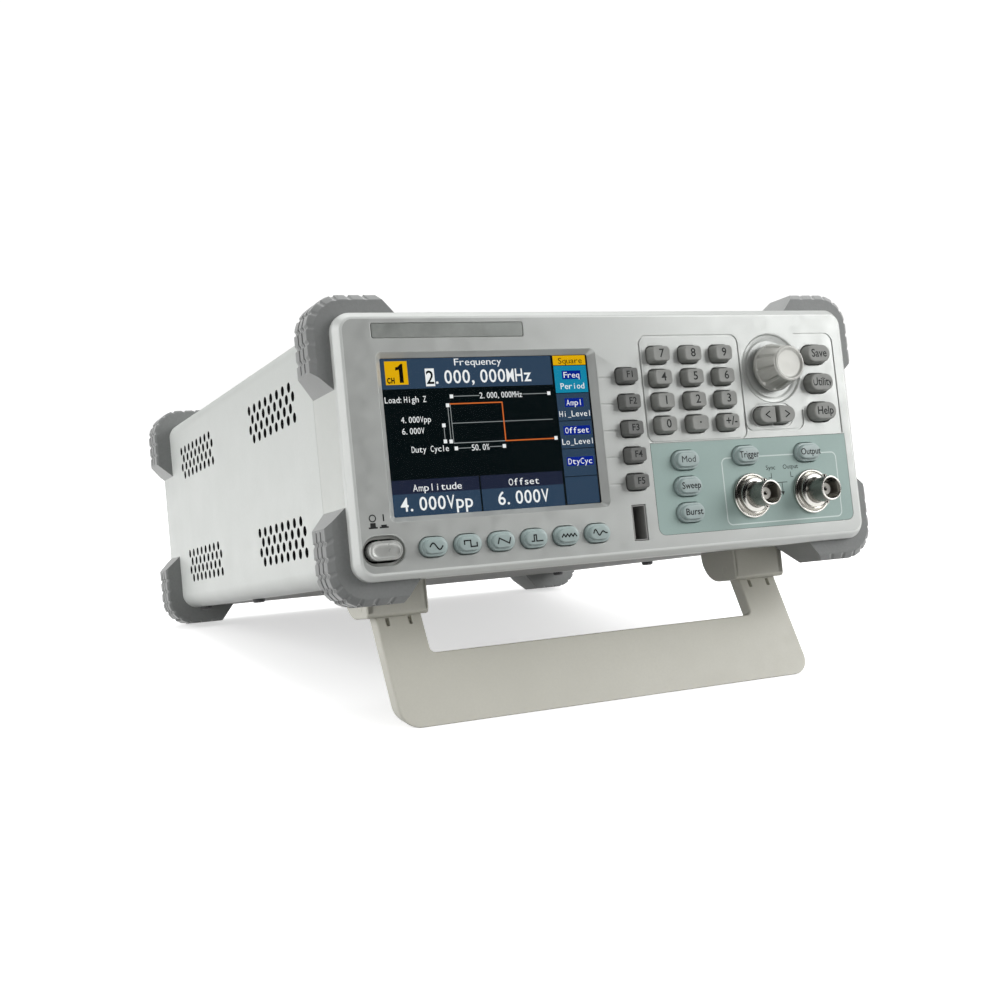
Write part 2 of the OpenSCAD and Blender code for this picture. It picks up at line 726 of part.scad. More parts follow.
// The bail with its pivot at the origin, hanging straight down, and its front at -Y
module hanging_bail() difference() {
    union() {
        along_y(-bail_t / 2, bail_t / 2) difference() {
            translate([0, -(bail_l + bail_spare) / 2]) {
                rounded(2 * bail_x, bail_l + bail_spare, bail_corner_r);
                translate([0, bail_l / 4]) square([2 * bail_x, bail_l / 2], center = true);
            }
            translate([0, bail_l - bar_top]) rounded(2 * (bail_x - arm_w), 2 * bail_l, window_r);
        }
        for (x = [-bail_x, bail_x - arm_w]) translate([x, 0, 0]) rotate([0, 90, 0])
            cylinder(r = knuckle_r, h = arm_w);
    }
    translate([-big / 2, 0, 0]) rotate([0, 90, 0]) cylinder(r = pin_r + pin_fit, h = big);
    for (side = [-1, 1], x = slot_x) translate([side * x - slot[0] / 2, -bail_t, slot_z])
        cube([slot[0], bail_t / 2 + slot[1], slot[2]]);
    for (i = [-1.5:1:1.5]) translate([i * (pocket[0] + pocket_gap), 0, pocket_z])
        along_y(pocket_floor, bail_t) rounded(pocket[0], pocket[1], pocket[2]);
}

module bail_stand() color("tan") difference() {
    stand() translate([0, pivot[0], pivot[1]]) rotate([-lean, 0, 0]) hanging_bail();
    translate([-big / 2, -big / 2, -big]) cube(big);
}

module main_board() color("darkgreen") stand() {
    top = pcb_z + pcb_t;
    box([main_x[0], main_y[0], pcb_z], [main_x[1], main_y[1], top]);
    spacers(main_x, main_y);
    shield = [[-80, 190], [50, 50, 14]];      // places and sizes of the parts on the board
    processor = [[-78, 120], [24, 24, 2.4]];
    converter = [[-40, 118], [18, 18, 2.4]];
    heatsink = [[-10, 150], [24, 50, 18]];
    capacitor = [4, 10];
    capacitor_x = -92;
    capacitor_y = [100:14:170];
    for (b = [shield, processor, converter, heatsink]) translate([b[0][0], b[0][1], top]) cube(b[1]);
    for (y = capacitor_y) translate([capacitor_x, y, top])
        cylinder(r = capacitor[0], h = capacitor[1]);
}

module power_supply() color("olive") stand() {
    top = pcb_z + pcb_t;
    box([supply_x[0], supply_y[0], pcb_z], [supply_x[1], supply_y[1], top]);
    spacers(supply_x, supply_y);
    transformer = [[50, 170], [36, 36, 30]];  // places and sizes of the parts on the board
    heatsink = [[36, 132], [4, 44, 34]];
    choke = [[60, 224], [24, 20, 24]];
    capacitor = [9, 26];
    capacitor_x = [52, 74];
    capacitor_y = 146;
    for (b = [transformer, heatsink, choke]) translate([b[0][0], b[0][1], top]) cube(b[1]);
    for (x = capacitor_x) translate([x, capacitor_y, top])
        cylinder(r = capacitor[0], h = capacitor[1]);
}

module mains_inlet() color([0.15, 0.15, 0.16]) stand() at(inlet_at) {
    socket_x = -8.5;
    rocker_x = 15.5;
    rocker = [14, 22.4];
    pin = [2, 4];
    pin_l = 13;
    floor_y = case_d + inlet_out - socket_deep;
    difference() {
        union() {
            along_y(case_d, case_d + inlet_out) rounded(inlet_flange[0], inlet_flange[1], 3);
            along_y(floor_y - 3, case_d) square(inlet_body, center = true);
        }
        translate([socket_x, 0, 0]) along_y(floor_y, case_d + inlet_out + over)
            rounded(inlet_socket[0], inlet_socket[1], 2);
        translate([rocker_x, 0, 0]) along_y(case_d + 1, case_d + inlet_out + over)
            rounded(rocker[0] + 0.6, rocker[1] + 0.6, 1);
    }
    for (p = [[-7, -2], [0, 2], [7, -2]]) translate([socket_x + p[0], 0, p[1]])
        along_y(floor_y - over, floor_y + pin_l) square(pin, center = true);
    translate([rocker_x, 0, 0]) along_y(case_d + 0.9, case_d + inlet_out + 0.6)
        rounded(rocker[0], rocker[1], 1);
}

module case_screws() color("silver") stand() {
    for (x = [-1, 1], z = [-1, 1]) at([x * rear_screw[0], z * rear_screw[1]]) {
        rod(screw_r, case_d - screw_l, case_d);
        rod(screw_head_r, case_d, case_d + screw_head_t);
    }
    for (x = [-1, 1], y = side_screw_y) translate([x * side_screw_x, y, 0]) {
        translate([0, 0, base_z]) cylinder(r = screw_r, h = screw_l);
        translate([0, 0, base_z - screw_head_t]) cylinder(r = screw_head_r, h = screw_head_t);
    }
}

module power_switch() color([0.2, 0.2, 0.22]) stand() at(power_at) difference() {
    along_y(switch_y, switch_y + switch_l) square(switch_size, center = true);
    along_y(switch_y - over, switch_y + stem_in + power_travel + 2 * stem_play)
        square(stem_w + 2 * stem_play, center = true);
}

module power_button() color("silver") stand() at(power_at) {
    bevelled_prism(power_cap[0], power_cap[1], power_cap[2], -power_proud, flange_y, 0.6);
    along_y(flange_y, flange_y + flange_t) cap_outline(power_cap, flange_w);
    along_y(flange_y, switch_y + stem_in) square(stem_w, center = true);
}

module knob() color("ivory") stand() at(knob_at) rotate([90, 0, 0]) difference() {
    skirt_top = 2.6;
    crown_r = knob_r - 3.5;
    flute_r = 1.5;
    rotate_extrude() polygon([
        [0, knob_gap], [knob_r, knob_gap], [knob_r, skirt_top - 0.6], [knob_r - 0.6, skirt_top],
        [crown_r + 0.9, knob_h - 0.9], [crown_r, knob_h], [0, knob_h]
    ]);
    translate([0, 0, -over]) cylinder(r = shaft_r + shaft_fit, h = knob_h - knob_bore_l + over + 0.3);
    for (i = [1:knob_flutes]) rotate(i * 360 / knob_flutes)
        translate([knob_r + 0.5, 0, skirt_top]) cylinder(r = flute_r, h = knob_h);
    translate([0, 0, knob_h - 0.4]) cylinder(r = crown_r - 0.7, h = 1);
}

module function_key(i) color("gray") stand() at(function_pos(i)) key(function_cap, key_proud);
module number_key(c, r) color("gray") stand() at(number_pos(c, r)) key(number_cap, key_proud);
module wave_key(i) color("lightblue") stand() at(wave_pos(i)) key(wave_cap, wave_proud);
module mode_key(i) color("lightblue") stand() at(mode_pos(i)) key(menu_cap, wave_proud);
module trigger_key() color("lightblue") stand() at(trigger_at) key(menu_cap, wave_proud);
module output_key() color("lightblue") stand() at(output_at) key(menu_cap, wave_proud);
module menu_key(i) color("gray") stand() at(menu_pos(i)) key(menu_cap, key_proud);

module arrow_key(i) color("gray") stand() at(arrow_at[i]) {
    side = 2 * i - 1;
    intersection() {
        along_y(-key_proud, flange_y) arrow_outline(side);
        along_z(-big, big) polygon(bevelled(arrow_cap[0], -key_proud, flange_y, key_chamfer));
        along_x(-big, big) polygon(turned(bevelled(arrow_cap[1], -key_proud, flange_y, key_chamfer)));
    }
    along_y(flange_y, flange_y + flange_t) arrow_outline(side, 0.3);
}

front_bezel();
front_frame();
output_overlay();
name_strip();
display_window();
lcd_module();
key_mat();
front_board();
rotary_encoder();
front_jacks();
usb_ports();
case_cover();
base_chassis();
rear_panel();
front_bumpers();
rear_bumpers();
hinge_blocks();
hinge_pins();
main_board();
power_supply();
mains_inlet();
rear_jacks();
case_screws();
power_switch();
function_key(0);  // key_f1
function_key(1);  // key_f2
function_key(2);  // key_f3
function_key(3);  // key_f4
function_key(4);  // key_f5
number_key(0, 0);  // key_7
number_key(1, 0);  // key_8
number_key(2, 0);  // key_9
number_key(0, 1);  // key_4
number_key(1, 1);  // key_5
number_key(2, 1);  // key_6
number_key(0, 2);  // key_1
number_key(1, 2);  // key_2
number_key(2, 2);  // key_3
number_key(0, 3);  // key_0
number_key(1, 3);  // key_point
number_key(2, 3);  // key_sign
wave_key(0);  // key_sine
wave_key(1);  // key_square
wave_key(2);  // key_ramp
wave_key(3);  // key_pulse
wave_key(4);  // key_noise
wave_key(5);  // key_arb
mode_key(0);  // key_mod
mode_key(1);  // key_sweep
mode_key(2);  // key_burst
trigger_key();  // key_trigger
output_key();  // key_output
menu_key(0);  // key_save
menu_key(1);  // key_utility
menu_key(2);  // key_help
arrow_key(0);  // key_left
arrow_key(1);  // key_right
power_button();
knob();
bail_stand();
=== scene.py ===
import json
import math
from functools import lru_cache

import bmesh
import bpy
from mathutils import Matrix, Vector
from mathutils.geometry import delaunay_2d_cdt


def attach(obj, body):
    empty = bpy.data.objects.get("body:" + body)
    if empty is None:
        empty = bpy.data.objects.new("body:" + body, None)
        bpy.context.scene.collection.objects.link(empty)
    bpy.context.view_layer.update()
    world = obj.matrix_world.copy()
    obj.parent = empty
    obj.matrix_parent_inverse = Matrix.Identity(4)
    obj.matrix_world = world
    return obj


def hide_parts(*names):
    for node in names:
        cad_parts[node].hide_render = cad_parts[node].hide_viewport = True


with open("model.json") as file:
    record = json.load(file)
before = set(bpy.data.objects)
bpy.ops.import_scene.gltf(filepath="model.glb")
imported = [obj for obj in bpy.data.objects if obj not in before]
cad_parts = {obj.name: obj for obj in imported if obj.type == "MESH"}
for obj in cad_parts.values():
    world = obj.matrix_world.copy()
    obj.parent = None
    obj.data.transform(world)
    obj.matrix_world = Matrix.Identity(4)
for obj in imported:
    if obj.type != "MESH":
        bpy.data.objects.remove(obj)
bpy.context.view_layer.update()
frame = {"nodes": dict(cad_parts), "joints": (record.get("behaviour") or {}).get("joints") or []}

# Shapes are built in the panel frame, in millimetres: the origin is the middle of the panel's
# face, +X to the right, +Y into the case and +Z up the face. STAND puts them on the bench.
KNOB_JOINT_AT = Vector((71.5, -6.0, 23.0))
knob_joint = next(j for j in frame["joints"] if j["name"] == "knob_turn")
bail_joint = next(j for j in frame["joints"] if j["name"] == "bail_fold")
TURN = Vector((0, -1, 0)).rotation_difference(Vector(knob_joint["axis"])).to_matrix().to_4x4()
STAND = (Matrix.Translation(knob_joint["pos_m"]) @ TURN @ Matrix.Scale(0.001, 4)
         @ Matrix.Translation(-KNOB_JOINT_AT))
TO_PANEL = STAND.inverted()


@lru_cache(maxsize=None)
def cad(node):
    """Lowest and highest corner of a CAD node in the panel frame, in mm."""
    points = [TO_PANEL @ v.co for v in frame["nodes"][node].data.vertices]
    return [Vector([pick(p[i] for p in points) for i in range(3)]) for pick in (min, max)]


def middle(node):
    low, high = cad(node)
    return (low.x + high.x) / 2, (low.z + high.z) / 2


# Sizes
CASE_W, CASE_H = cad("front_frame")[1].x * 2, 94.0
CASE_D = 283.5
CASE_R = 7.0
PANEL_T = 2.5
BEZEL_D = 5.5
FRAME_END = 29.5
SHEET_T = 1.2
PLAY = 0.35                                 # round the grey keys
PALE_PLAY = 0.22                            # round the pale keys
BUTTON_PLAY = 0.7                           # round the power button
SCREEN = (82.8, 55.9)
SCREEN_AT = middle("display_window")
OVERLAY_X = (11.4, 104.0)
OVERLAY_Z = (-39.6, -4.5)
OVERLAY_DEEP = 0.4
KNOB_R, KNOB_H = 9.4, 12.0
JACK_R, JACK_L = 4.85, 13.0
JACK_X = (55.1, 84.0)
JACK_Z = -27.0
USB_AT = (3.45, -34.0)
USB_HOLE = (6.2, 13.6)
VENT_R = 1.8
PRINT = -0.02                               # depth of printed ink, just outside the surface
LINE_W = 0.7                                # an engraved line's width
TILT = math.atan2(knob_joint["axis"][2], -knob_joint["axis"][1])
LEAN = math.radians(23.9)
STATIC = "instrument"

# ---- Materials ---------------------------------------------------------------------------


def node(tree, kind, **inputs):
    """A shader node, its inputs set by name or linked from another node's output."""
    made = tree.nodes.new(kind)
    for name, value in inputs.items():
        socket = made.inputs[name.replace("_", " ")]
        if isinstance(value, bpy.types.NodeSocket):
            tree.links.new(value, socket)
        else:
            socket.default_value = value
    return made


def noise(tree, scale, detail=3.0, roughness=0.55):
    coords = node(tree, "ShaderNodeTexCoord").outputs["Object"]
    return node(tree, "ShaderNodeTexNoise", Vector=coords, Scale=scale, Detail=detail,
                Roughness=roughness).outputs["Fac"]


def mapped(tree, value, start, end, low, high, smooth=False):
    """A value that runs from start to end, made to run from low to high."""
    made = node(tree, "ShaderNodeMapRange", Value=value)
    if smooth:
        made.interpolation_type = "SMOOTHSTEP"
    for name, number in zip(("From Min", "From Max", "To Min", "To Max"), (start, end, low, high)):
        made.inputs[name].default_value = number
    return made.outputs["Result"]


def spread(tree, factor, low, high):
    """A factor from 0.3 to 0.7, stretched to run from low to high."""
    return mapped(tree, factor, 0.3, 0.7, low, high)


def joined(tree, kind, operation, first, second):
    """The value that a maths node makes of two outputs."""
    made = tree.nodes.new(kind)
    made.operation = operation
    tree.links.new(first, made.inputs[0])
    tree.links.new(second, made.inputs[1])
    return made.outputs["Value"]


def mixed(tree, factor, first, second, mode="MIX"):
    made = tree.nodes.new("ShaderNodeMix")
    made.data_type = "RGBA"
    made.blend_type = mode
    for socket, value in zip((made.inputs[0], made.inputs[6], made.inputs[7]),
                             (factor, first, second)):
        if isinstance(value, bpy.types.NodeSocket):
            tree.links.new(value, socket)
        else:
            socket.default_value = value
    return made.outputs[2]


def blank(name):
    """A new material, with its tree and its shader."""
    made = bpy.data.materials.new(name)
    made.use_nodes = True
    return made, made.node_tree, made.node_tree.nodes["Principled BSDF"]


def settle(shader, **values):
    """Sets the shader's own inputs to constants."""
    for name, value in values.items():
        shader.inputs[name.replace("_", " ")].default_value = value


def shade(colour, factor):
    return (*[min(1.0, c * factor) for c in colour[:3]], 1.0)


def surface(name, colour, rough, metallic=0.0, coat=0.0, grain=1500.0, bump=0.1, mottle=0.04,
            blotch=30.0, rough_spread=0.06, wear=0.0, specular=0.5, sheen=0.0):
    """A moulded, painted or metal surface: blotches and specks in its colour, uneven gloss, a
    fine grain in relief, and paler edges where it wears."""
    made, tree, shader = blank(name)
    blotches = noise(tree, blotch, 4.0)
    base = mixed(tree, spread(tree, blotches, 0, 1), shade(colour, 1 - mottle), shade(colour, 1 + mottle))
    specks = noise(tree, grain * 0.7, 2.0)
    base = mixed(tree, spread(tree, specks, 0, 1), base, mixed(
        tree, 0.5, base, shade(colour, 1 - 2.2 * mottle)))
    if wear:
        rounded_normal = node(tree, "ShaderNodeBevel", Radius=0.0006)
        rounded_normal.samples = 4
        flat_normal = node(tree, "ShaderNodeNewGeometry").outputs["Normal"]
        across = joined(tree, "ShaderNodeVectorMath", "DOT_PRODUCT", rounded_normal.outputs["Normal"],
                        flat_normal)
        base = mixed(tree, mapped(tree, across, 1.0, 0.8, 0.0, wear), base, shade(colour, 1.6))
    tree.links.new(base, shader.inputs["Base Color"])
    gloss = noise(tree, blotch * 6, 3.0)
    tree.links.new(spread(tree, gloss, rough - rough_spread, rough + rough_spread),
                   shader.inputs["Roughness"])
    relief = node(tree, "ShaderNodeBump", Height=noise(tree, grain, 2.0), Strength=bump,
                  Distance=0.0001)
    tree.links.new(relief.outputs["Normal"], shader.inputs["Normal"])
    settle(shader, Metallic=metallic, Specular_IOR_Level=specular, Coat_Weight=coat,
           Coat_Roughness=0.15, Sheen_Weight=sheen, Sheen_Roughness=0.5)
    return made


def lit(name, colour, strength=1.0, cell=0.0001725):
    """A colour on the display, broken up by the display's own cells."""
    made, tree, shader = blank(name)
    coords = node(tree, "ShaderNodeTexCoord").outputs["Object"]
    stripes = node(tree, "ShaderNodeTexWave", Vector=coords, Scale=math.pi / 20 / cell)
    stripes.bands_direction = "X"
    factor = spread(tree, noise(tree, 60.0), 0.0, 0.35)
    base = mixed(tree, factor, shade(colour, 1.0), shade(colour, 0.9))
    base = mixed(tree, stripes.outputs["Fac"], base, shade(colour, 0.86))
    tree.links.new(base, shader.inputs["Emission Color"])
    settle(shader, Emission_Strength=strength, Base_Color=(0.001, 0.001, 0.001, 1),
           Specular_IOR_Level=0.0, Roughness=0.5)
    return made


def glass(name):
    made, tree, shader = blank(name)
    settle(shader, Transmission_Weight=1.0, IOR=1.1)     # low, as its coating kills most reflections
    tree.links.new(spread(tree, noise(tree, 120.0), 0.01, 0.05), shader.inputs["Roughness"])
    tint = mixed(tree, noise(tree, 40.0), (0.97, 0.98, 0.98, 1), (0.92, 0.94, 0.95, 1))
    tree.links.new(tint, shader.inputs["Base Color"])
    return made


def circuit(name):
    """Green solder mask, with paler tracks in it."""
    made = surface(name, (0.015, 0.11, 0.055), 0.35, coat=0.3, grain=900.0, mottle=0.1)
    tree = made.node_tree
    shader = tree.nodes["Principled BSDF"]
    coords = node(tree, "ShaderNodeTexCoord").outputs["Object"]
    tracks = node(tree, "ShaderNodeTexBrick", Vector=coords, Scale=260.0)
    tracks.inputs["Color1"].default_value = (0, 0, 0, 1)
    tracks.inputs["Color2"].default_value = (0.25, 0.25, 0.25, 1)
    tracks.inputs["Mortar"].default_value = (1, 1, 1, 1)
    old = shader.inputs["Base Color"].links[0].from_socket
    base = mixed(tree, tracks.outputs["Color"], old, (0.05, 0.25, 0.1, 1))
    tree.links.new(base, shader.inputs["Base Color"])
    return made


M = {
    "bezel": surface("bezel_paint", (0.47, 0.485, 0.47), 0.36, metallic=0.35, grain=2600.0, bump=0.12,
                     mottle=0.02, coat=0.1, wear=0.12),
    # a lighter copy of the bezel paint for the rim round the panel: painted light on its bevel
    "rim": surface("bezel_rim_painted_light", (0.68, 0.70, 0.68), 0.4, metallic=0.15, grain=2600.0, bump=0.12,
                   mottle=0.02, coat=0.1, wear=0.12),
    "frame": surface("frame_moulding", (0.68, 0.70, 0.67), 0.42, grain=1600.0, bump=0.14, mottle=0.02,
                     wear=0.1, specular=0.25),
    "overlay": surface("overlay_film", (0.355, 0.475, 0.445), 0.42, grain=2400.0, bump=0.1, mottle=0.03,
                       specular=0.35),
    "overlay_line": surface("overlay_line", (0.66, 0.76, 0.73), 0.45, grain=2400.0, mottle=0.04),
    "strip": surface("brushed_strip", (0.29, 0.305, 0.29), 0.38, metallic=0.6, grain=700.0, bump=0.2,
                     mottle=0.08),
    "case": surface("case_paint", (0.69, 0.715, 0.69), 0.42, grain=1100.0, bump=0.22, mottle=0.018,
                    blotch=14.0, wear=0.1),
    # black film on the cover's inside; the vent walls also take it as painted shade
    "film": surface("insulating_film_and_vent_shade", (0.012, 0.012, 0.013), 0.6, grain=900.0, mottle=0.1, specular=0.1),
    "rear": surface("rear_paint", (0.52, 0.54, 0.52), 0.5, grain=1100.0, bump=0.25, mottle=0.03,
                    wear=0.1),
    # dark grey for the chassis: painted shade under the case
    "zinc": surface("chassis_zinc_painted_shade", (0.28, 0.28, 0.265), 0.55, grain=300.0, bump=0.1, mottle=0.1,
                    specular=0.1),
    "steel": surface("zinc_plate", (0.55, 0.55, 0.54), 0.38, metallic=0.9, grain=300.0, bump=0.1,
                     mottle=0.1),
    "rubber": surface("bumper_rubber", (0.195, 0.203, 0.200), 0.6, grain=1400.0, bump=0.35,
                      mottle=0.08, wear=0.15, specular=0.4, sheen=1.0),
    "stand": surface("stand_moulding", (0.60, 0.59, 0.52), 0.44, grain=1500.0, bump=0.25, mottle=0.025,
                     wear=0.12),
    # also darkens the power button's recess, as painted shade
    "key": surface("key_grey", (0.27, 0.275, 0.26), 0.5, grain=1800.0, bump=0.2, mottle=0.05, wear=0.15),
    "key_dark": surface("key_dark_grey", (0.135, 0.138, 0.132), 0.5, grain=1800.0, bump=0.2, mottle=0.05,
                        wear=0.15),
    "pale": surface("key_pale", (0.37, 0.455, 0.445), 0.38, grain=1800.0, bump=0.15, mottle=0.03,
                    coat=0.15, wear=0.1),
    "ink": surface("ink", (0.012, 0.014, 0.014), 0.5, grain=2500.0, mottle=0.15, specular=0.25),
    "knob": surface("knob_moulding", (0.44, 0.44, 0.41), 0.34, metallic=0.25, grain=900.0, bump=0.05,
                    mottle=0.02, coat=0.15),
    "button": surface("button_paint", (0.50, 0.51, 0.49), 0.3, metallic=0.4, grain=2200.0, bump=0.1,
                      mottle=0.03, coat=0.3, wear=0.3),
    "nickel": surface("polished_nickel", (0.52, 0.51, 0.48), 0.22, metallic=1.0, grain=260.0,
                      bump=0.01, mottle=0.04, rough_spread=0.04),
    # a darker copy of the nickel: painted shade on the jack barrels
    "barrel": surface("nickel_with_painted_shade", (0.27, 0.26, 0.24), 0.24, metallic=1.0, grain=240.0, bump=0.06,
                      mottle=0.12, rough_spread=0.08),
    "dielectric": surface("jack_insulator", (0.75, 0.73, 0.68), 0.5, grain=1500.0, mottle=0.05),
    "black": surface("black_moulding", (0.018, 0.018, 0.02), 0.4, grain=1500.0, bump=0.2, mottle=0.15,
                     wear=0.1),
    "tongue": surface("socket_tongue", (0.30, 0.30, 0.29), 0.4, grain=1500.0, mottle=0.1),
    "silicone": surface("mat_silicone", (0.09, 0.09, 0.09), 0.6, grain=1200.0, mottle=0.1),
    "paper": surface("supply_laminate", (0.30, 0.20, 0.08), 0.5, grain=500.0, mottle=0.15),
    "board": circuit("board_mask"),
    "glass": glass("window_glass"),
}

# ---- Outlines: closed loops of points, anticlockwise ----------------------------------------


def cornered(w, h, radii, at=(0, 0), corner=8):
    """A box with a radius for each corner, from the upper right one round."""
    points = []
    for i, r in enumerate(radii):
        cx = at[0] + (w / 2 - r) * (1 if i in (0, 3) else -1)
        cz = at[1] + (h / 2 - r) * (1 if i < 2 else -1)
        for k in range(corner + 1):
            a = math.pi / 2 * (i + k / corner)
            points.append((cx + r * math.cos(a), cz + r * math.sin(a)))
    return points


def rounded(w, h, r, at=(0, 0), corner=8):
    return cornered(w, h, [max(min(r, w / 2, h / 2), 0.02)] * 4, at, corner)


def circle(r, at=(0, 0), count=48):
    return [(at[0] + r * math.cos(2 * math.pi * i / count), at[1] + r * math.sin(2 * math.pi * i / count))
            for i in range(count)]


def half_oval(w, h, side, at, r=0.5):
    """Round on one side, side being -1 or 1, and nearly square on the other."""
    right, left = (h / 2, r) if side > 0 else (r, h / 2)
    return cornered(w, h, (right, left, left, right), at)


def stroke(path, width):
    """A loop round an open path."""
    left, right = [], []
    for i, p in enumerate(path):
        a, b = Vector(path[max(i - 1, 0)]), Vector(path[min(i + 1, len(path) - 1)])
        before = (Vector(p) - a).normalized() if i else (b - Vector(p)).normalized()
        along = (b - a).normalized()
        miter = width / 2 / max(abs(along.dot(before)), 0.4)
        left.append((p[0] - along.y * miter, p[1] + along.x * miter))
        right.append((p[0] + along.y * miter, p[1] - along.x * miter))
    return right + left[::-1]


def bend(at, r, a, b, count=6):
    """Points along an arc, from angle a to angle b in degrees."""
    turns = [math.radians(a + (b - a) * k / count) for k in range(count + 1)]
    return [(at[0] + r * math.cos(t), at[1] + r * math.sin(t)) for t in turns]


# ---- Surfaces. A plane function maps (x, z, depth) to a point of the panel frame ------------


def front(x, z, deep):
    return Vector((x, deep, z))


def back(x, z, deep):
    return Vector((x, CASE_D - deep, z))


def skin(bm, rings, closed=True):
    """Quads between one ring of points and the next."""
    made = [[bm.verts.new(p) for p in ring] for ring in rings]
    for one, two in zip(made, made[1:]):
        count = len(one)
        for i in range(count if closed else count - 1):
            j = (i + 1) % count
            bm.faces.new((one[i], one[j], two[j], two[i]))
    return made


def lid(bm, ring):
    bm.faces.new([bm.verts.new(p) for p in ring])


def holds(loop, p):
    """Whether a loop goes round a point."""
    x, z = p
    if not min(q[0] for q in loop) < x < max(q[0] for q in loop):
        return False
    found = False
    for (ax, az), (bx, bz) in zip(loop, loop[1:] + loop[:1]):
        if (az > z) != (bz > z) and x < (bx - ax) * (z - az) / (bz - az) + ax:
            found = not found
    return found


def flat(bm, outer, cuts=(), plane=front, deep=0.0, folds=()):
    """Fills outer, leaving the cuts open. A cut is a loop, or a pair of loops with the part between
    them cut away. folds are extra lines that the triangles keep to."""
    loops = [outer]
    for c in cuts:
        loops += list(c) if isinstance(c, tuple) else [c]
    points, edges = [], []
    for loop in loops:
        start = len(points)
        points += [Vector(p) for p in loop]
        edges += [(start + i, start + (i + 1) % len(loop)) for i in range(len(loop))]
    for a, b in folds:
        edges.append((len(points), len(points) + 1))
        points += [Vector(a), Vector(b)]
    spots, _, triangles = delaunay_2d_cdt(points, edges, [], 0, 1e-5)[:3]
    boxes = [(c if isinstance(c, tuple) else (c, None)) for c in cuts]
    verts = {}
    for t in triangles:
        centre = sum((spots[i] for i in t), Vector((0, 0))) / 3
        if not holds(outer, centre):
            continue
        if any(holds(a, centre) and not (b and holds(b, centre)) for a, b in boxes):
            continue
        for i in t:
            if i not in verts:
                verts[i] = bm.verts.new(plane(spots[i][0], spots[i][1], deep))
        bm.faces.new([verts[i] for i in t])


def lifted(loop, plane, deep):
    return [plane(x, z, deep) for x, z in loop]


def hole(bm, shape, deep, edge=0.3, plane=front, top=0.0, floor=False, steps=3):
    """The wall of an opening, with a rounded edge. shape(grow) gives its outline, and the outline
    that the face has to leave open is returned."""
    rings = []
    for k in range(steps + 1):
        a = math.pi / 2 * k / steps
        rings.append(lifted(shape(edge * (1 - math.sin(a))), plane, top + edge * (1 - math.cos(a))))
    rings.append(lifted(shape(0), plane, top + deep))
    skin(bm, rings)
    if floor:
        flat(bm, shape(0), plane=plane, deep=top + deep)
    return shape(edge)


def stack(bm, shape, profile, plane=front, cap=True):
    """Rings of one outline: the profile gives each one's inset and its depth."""
    rings = [lifted(shape(-inset), plane, deep) for inset, deep in profile]
    skin(bm, rings)
    if cap:
        lid(bm, rings[-1])


def lathe(bm, origin, axis, profile, count=48, flute=None):
    """A turned shape: the profile gives radii and places along the axis. flute(angle, place)
    takes something off the radius."""
    axis = Vector(axis).normalized()
    side = axis.orthogonal().normalized()
    other = axis.cross(side)
    rings = []
    for r, along in profile:
        ring = []
        for i in range(count):
            a = 2 * math.pi * i / count
            radius = max(r - (flute(a, along) if flute else 0), 0.001)
            ring.append(Vector(origin) + axis * along + (side * math.cos(a) + other * math.sin(a)) * radius)
        rings.append(ring)
    skin(bm, rings)


def tint(bm, first, index):
    """Gives the faces made since there were first of them another material."""
    bm.faces.ensure_lookup_table()
    for face in list(bm.faces)[first:]:
        face.material_index = index


def finish_piece(name, bm, materials, body=STATIC, replaces=(), crease=32, facing=None):
    bmesh.ops.remove_doubles(bm, verts=bm.verts, dist=0.002)
    bmesh.ops.recalc_face_normals(bm, faces=bm.faces)
    if facing:
        if sum(f.normal.dot(Vector(facing)) * f.calc_area() for f in bm.faces) < 0:
            bmesh.ops.reverse_faces(bm, faces=bm.faces)
    mesh = bpy.data.meshes.new(name)
    bm.to_mesh(mesh)
    bm.free()
    mesh.transform(STAND)
    mesh.shade_smooth()
    mesh.set_sharp_from_angle(angle=math.radians(crease))
    made = bpy.data.objects.new(name, mesh)
    bpy.context.scene.collection.objects.link(made)
    for m in materials:
        mesh.materials.append(M[m])
    weighted = made.modifiers.new("normals", "WEIGHTED_NORMAL")
    weighted.keep_sharp = True
    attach(made, body)
    if replaces:
        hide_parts(*replaces)
    return made


@lru_cache(maxsize=None)
def outline_of(words, bold):
    """Corners and faces of flat letters of size 1, their middle at the origin."""
    curve = bpy.data.curves.new("words", "FONT")
    curve.body = words
    curve.size = 1
    curve.offset = bold
    curve.resolution_u = 3
    curve.align_x = "CENTER"
    curve.align_y = "CENTER"
    holder = bpy.data.objects.new("words", curve)
    bpy.context.scene.collection.objects.link(holder)
    bpy.context.view_layer.update()
    mesh = bpy.data.meshes.new_from_object(holder.evaluated_get(bpy.context.evaluated_depsgraph_get()))
    corners = [(v.co.x, v.co.y) for v in mesh.vertices]
    faces = [tuple(p.vertices) for p in mesh.polygons]
    bpy.data.objects.remove(holder)
    bpy.data.curves.remove(curve)
    bpy.data.meshes.remove(mesh)
    return corners, faces


def lettering(bm, words, at, size, deep, plane=front, stretch=1.0, bold=0.0):
    """Flat letters on a plane, with their middle at a point."""
    corners, faces = outline_of(words, bold)
    verts = [bm.verts.new(plane(at[0] + x * size * stretch, at[1] + z * size, deep)) for x, z in corners]
    for face in faces:
        bm.faces.new([verts[i] for i in face])


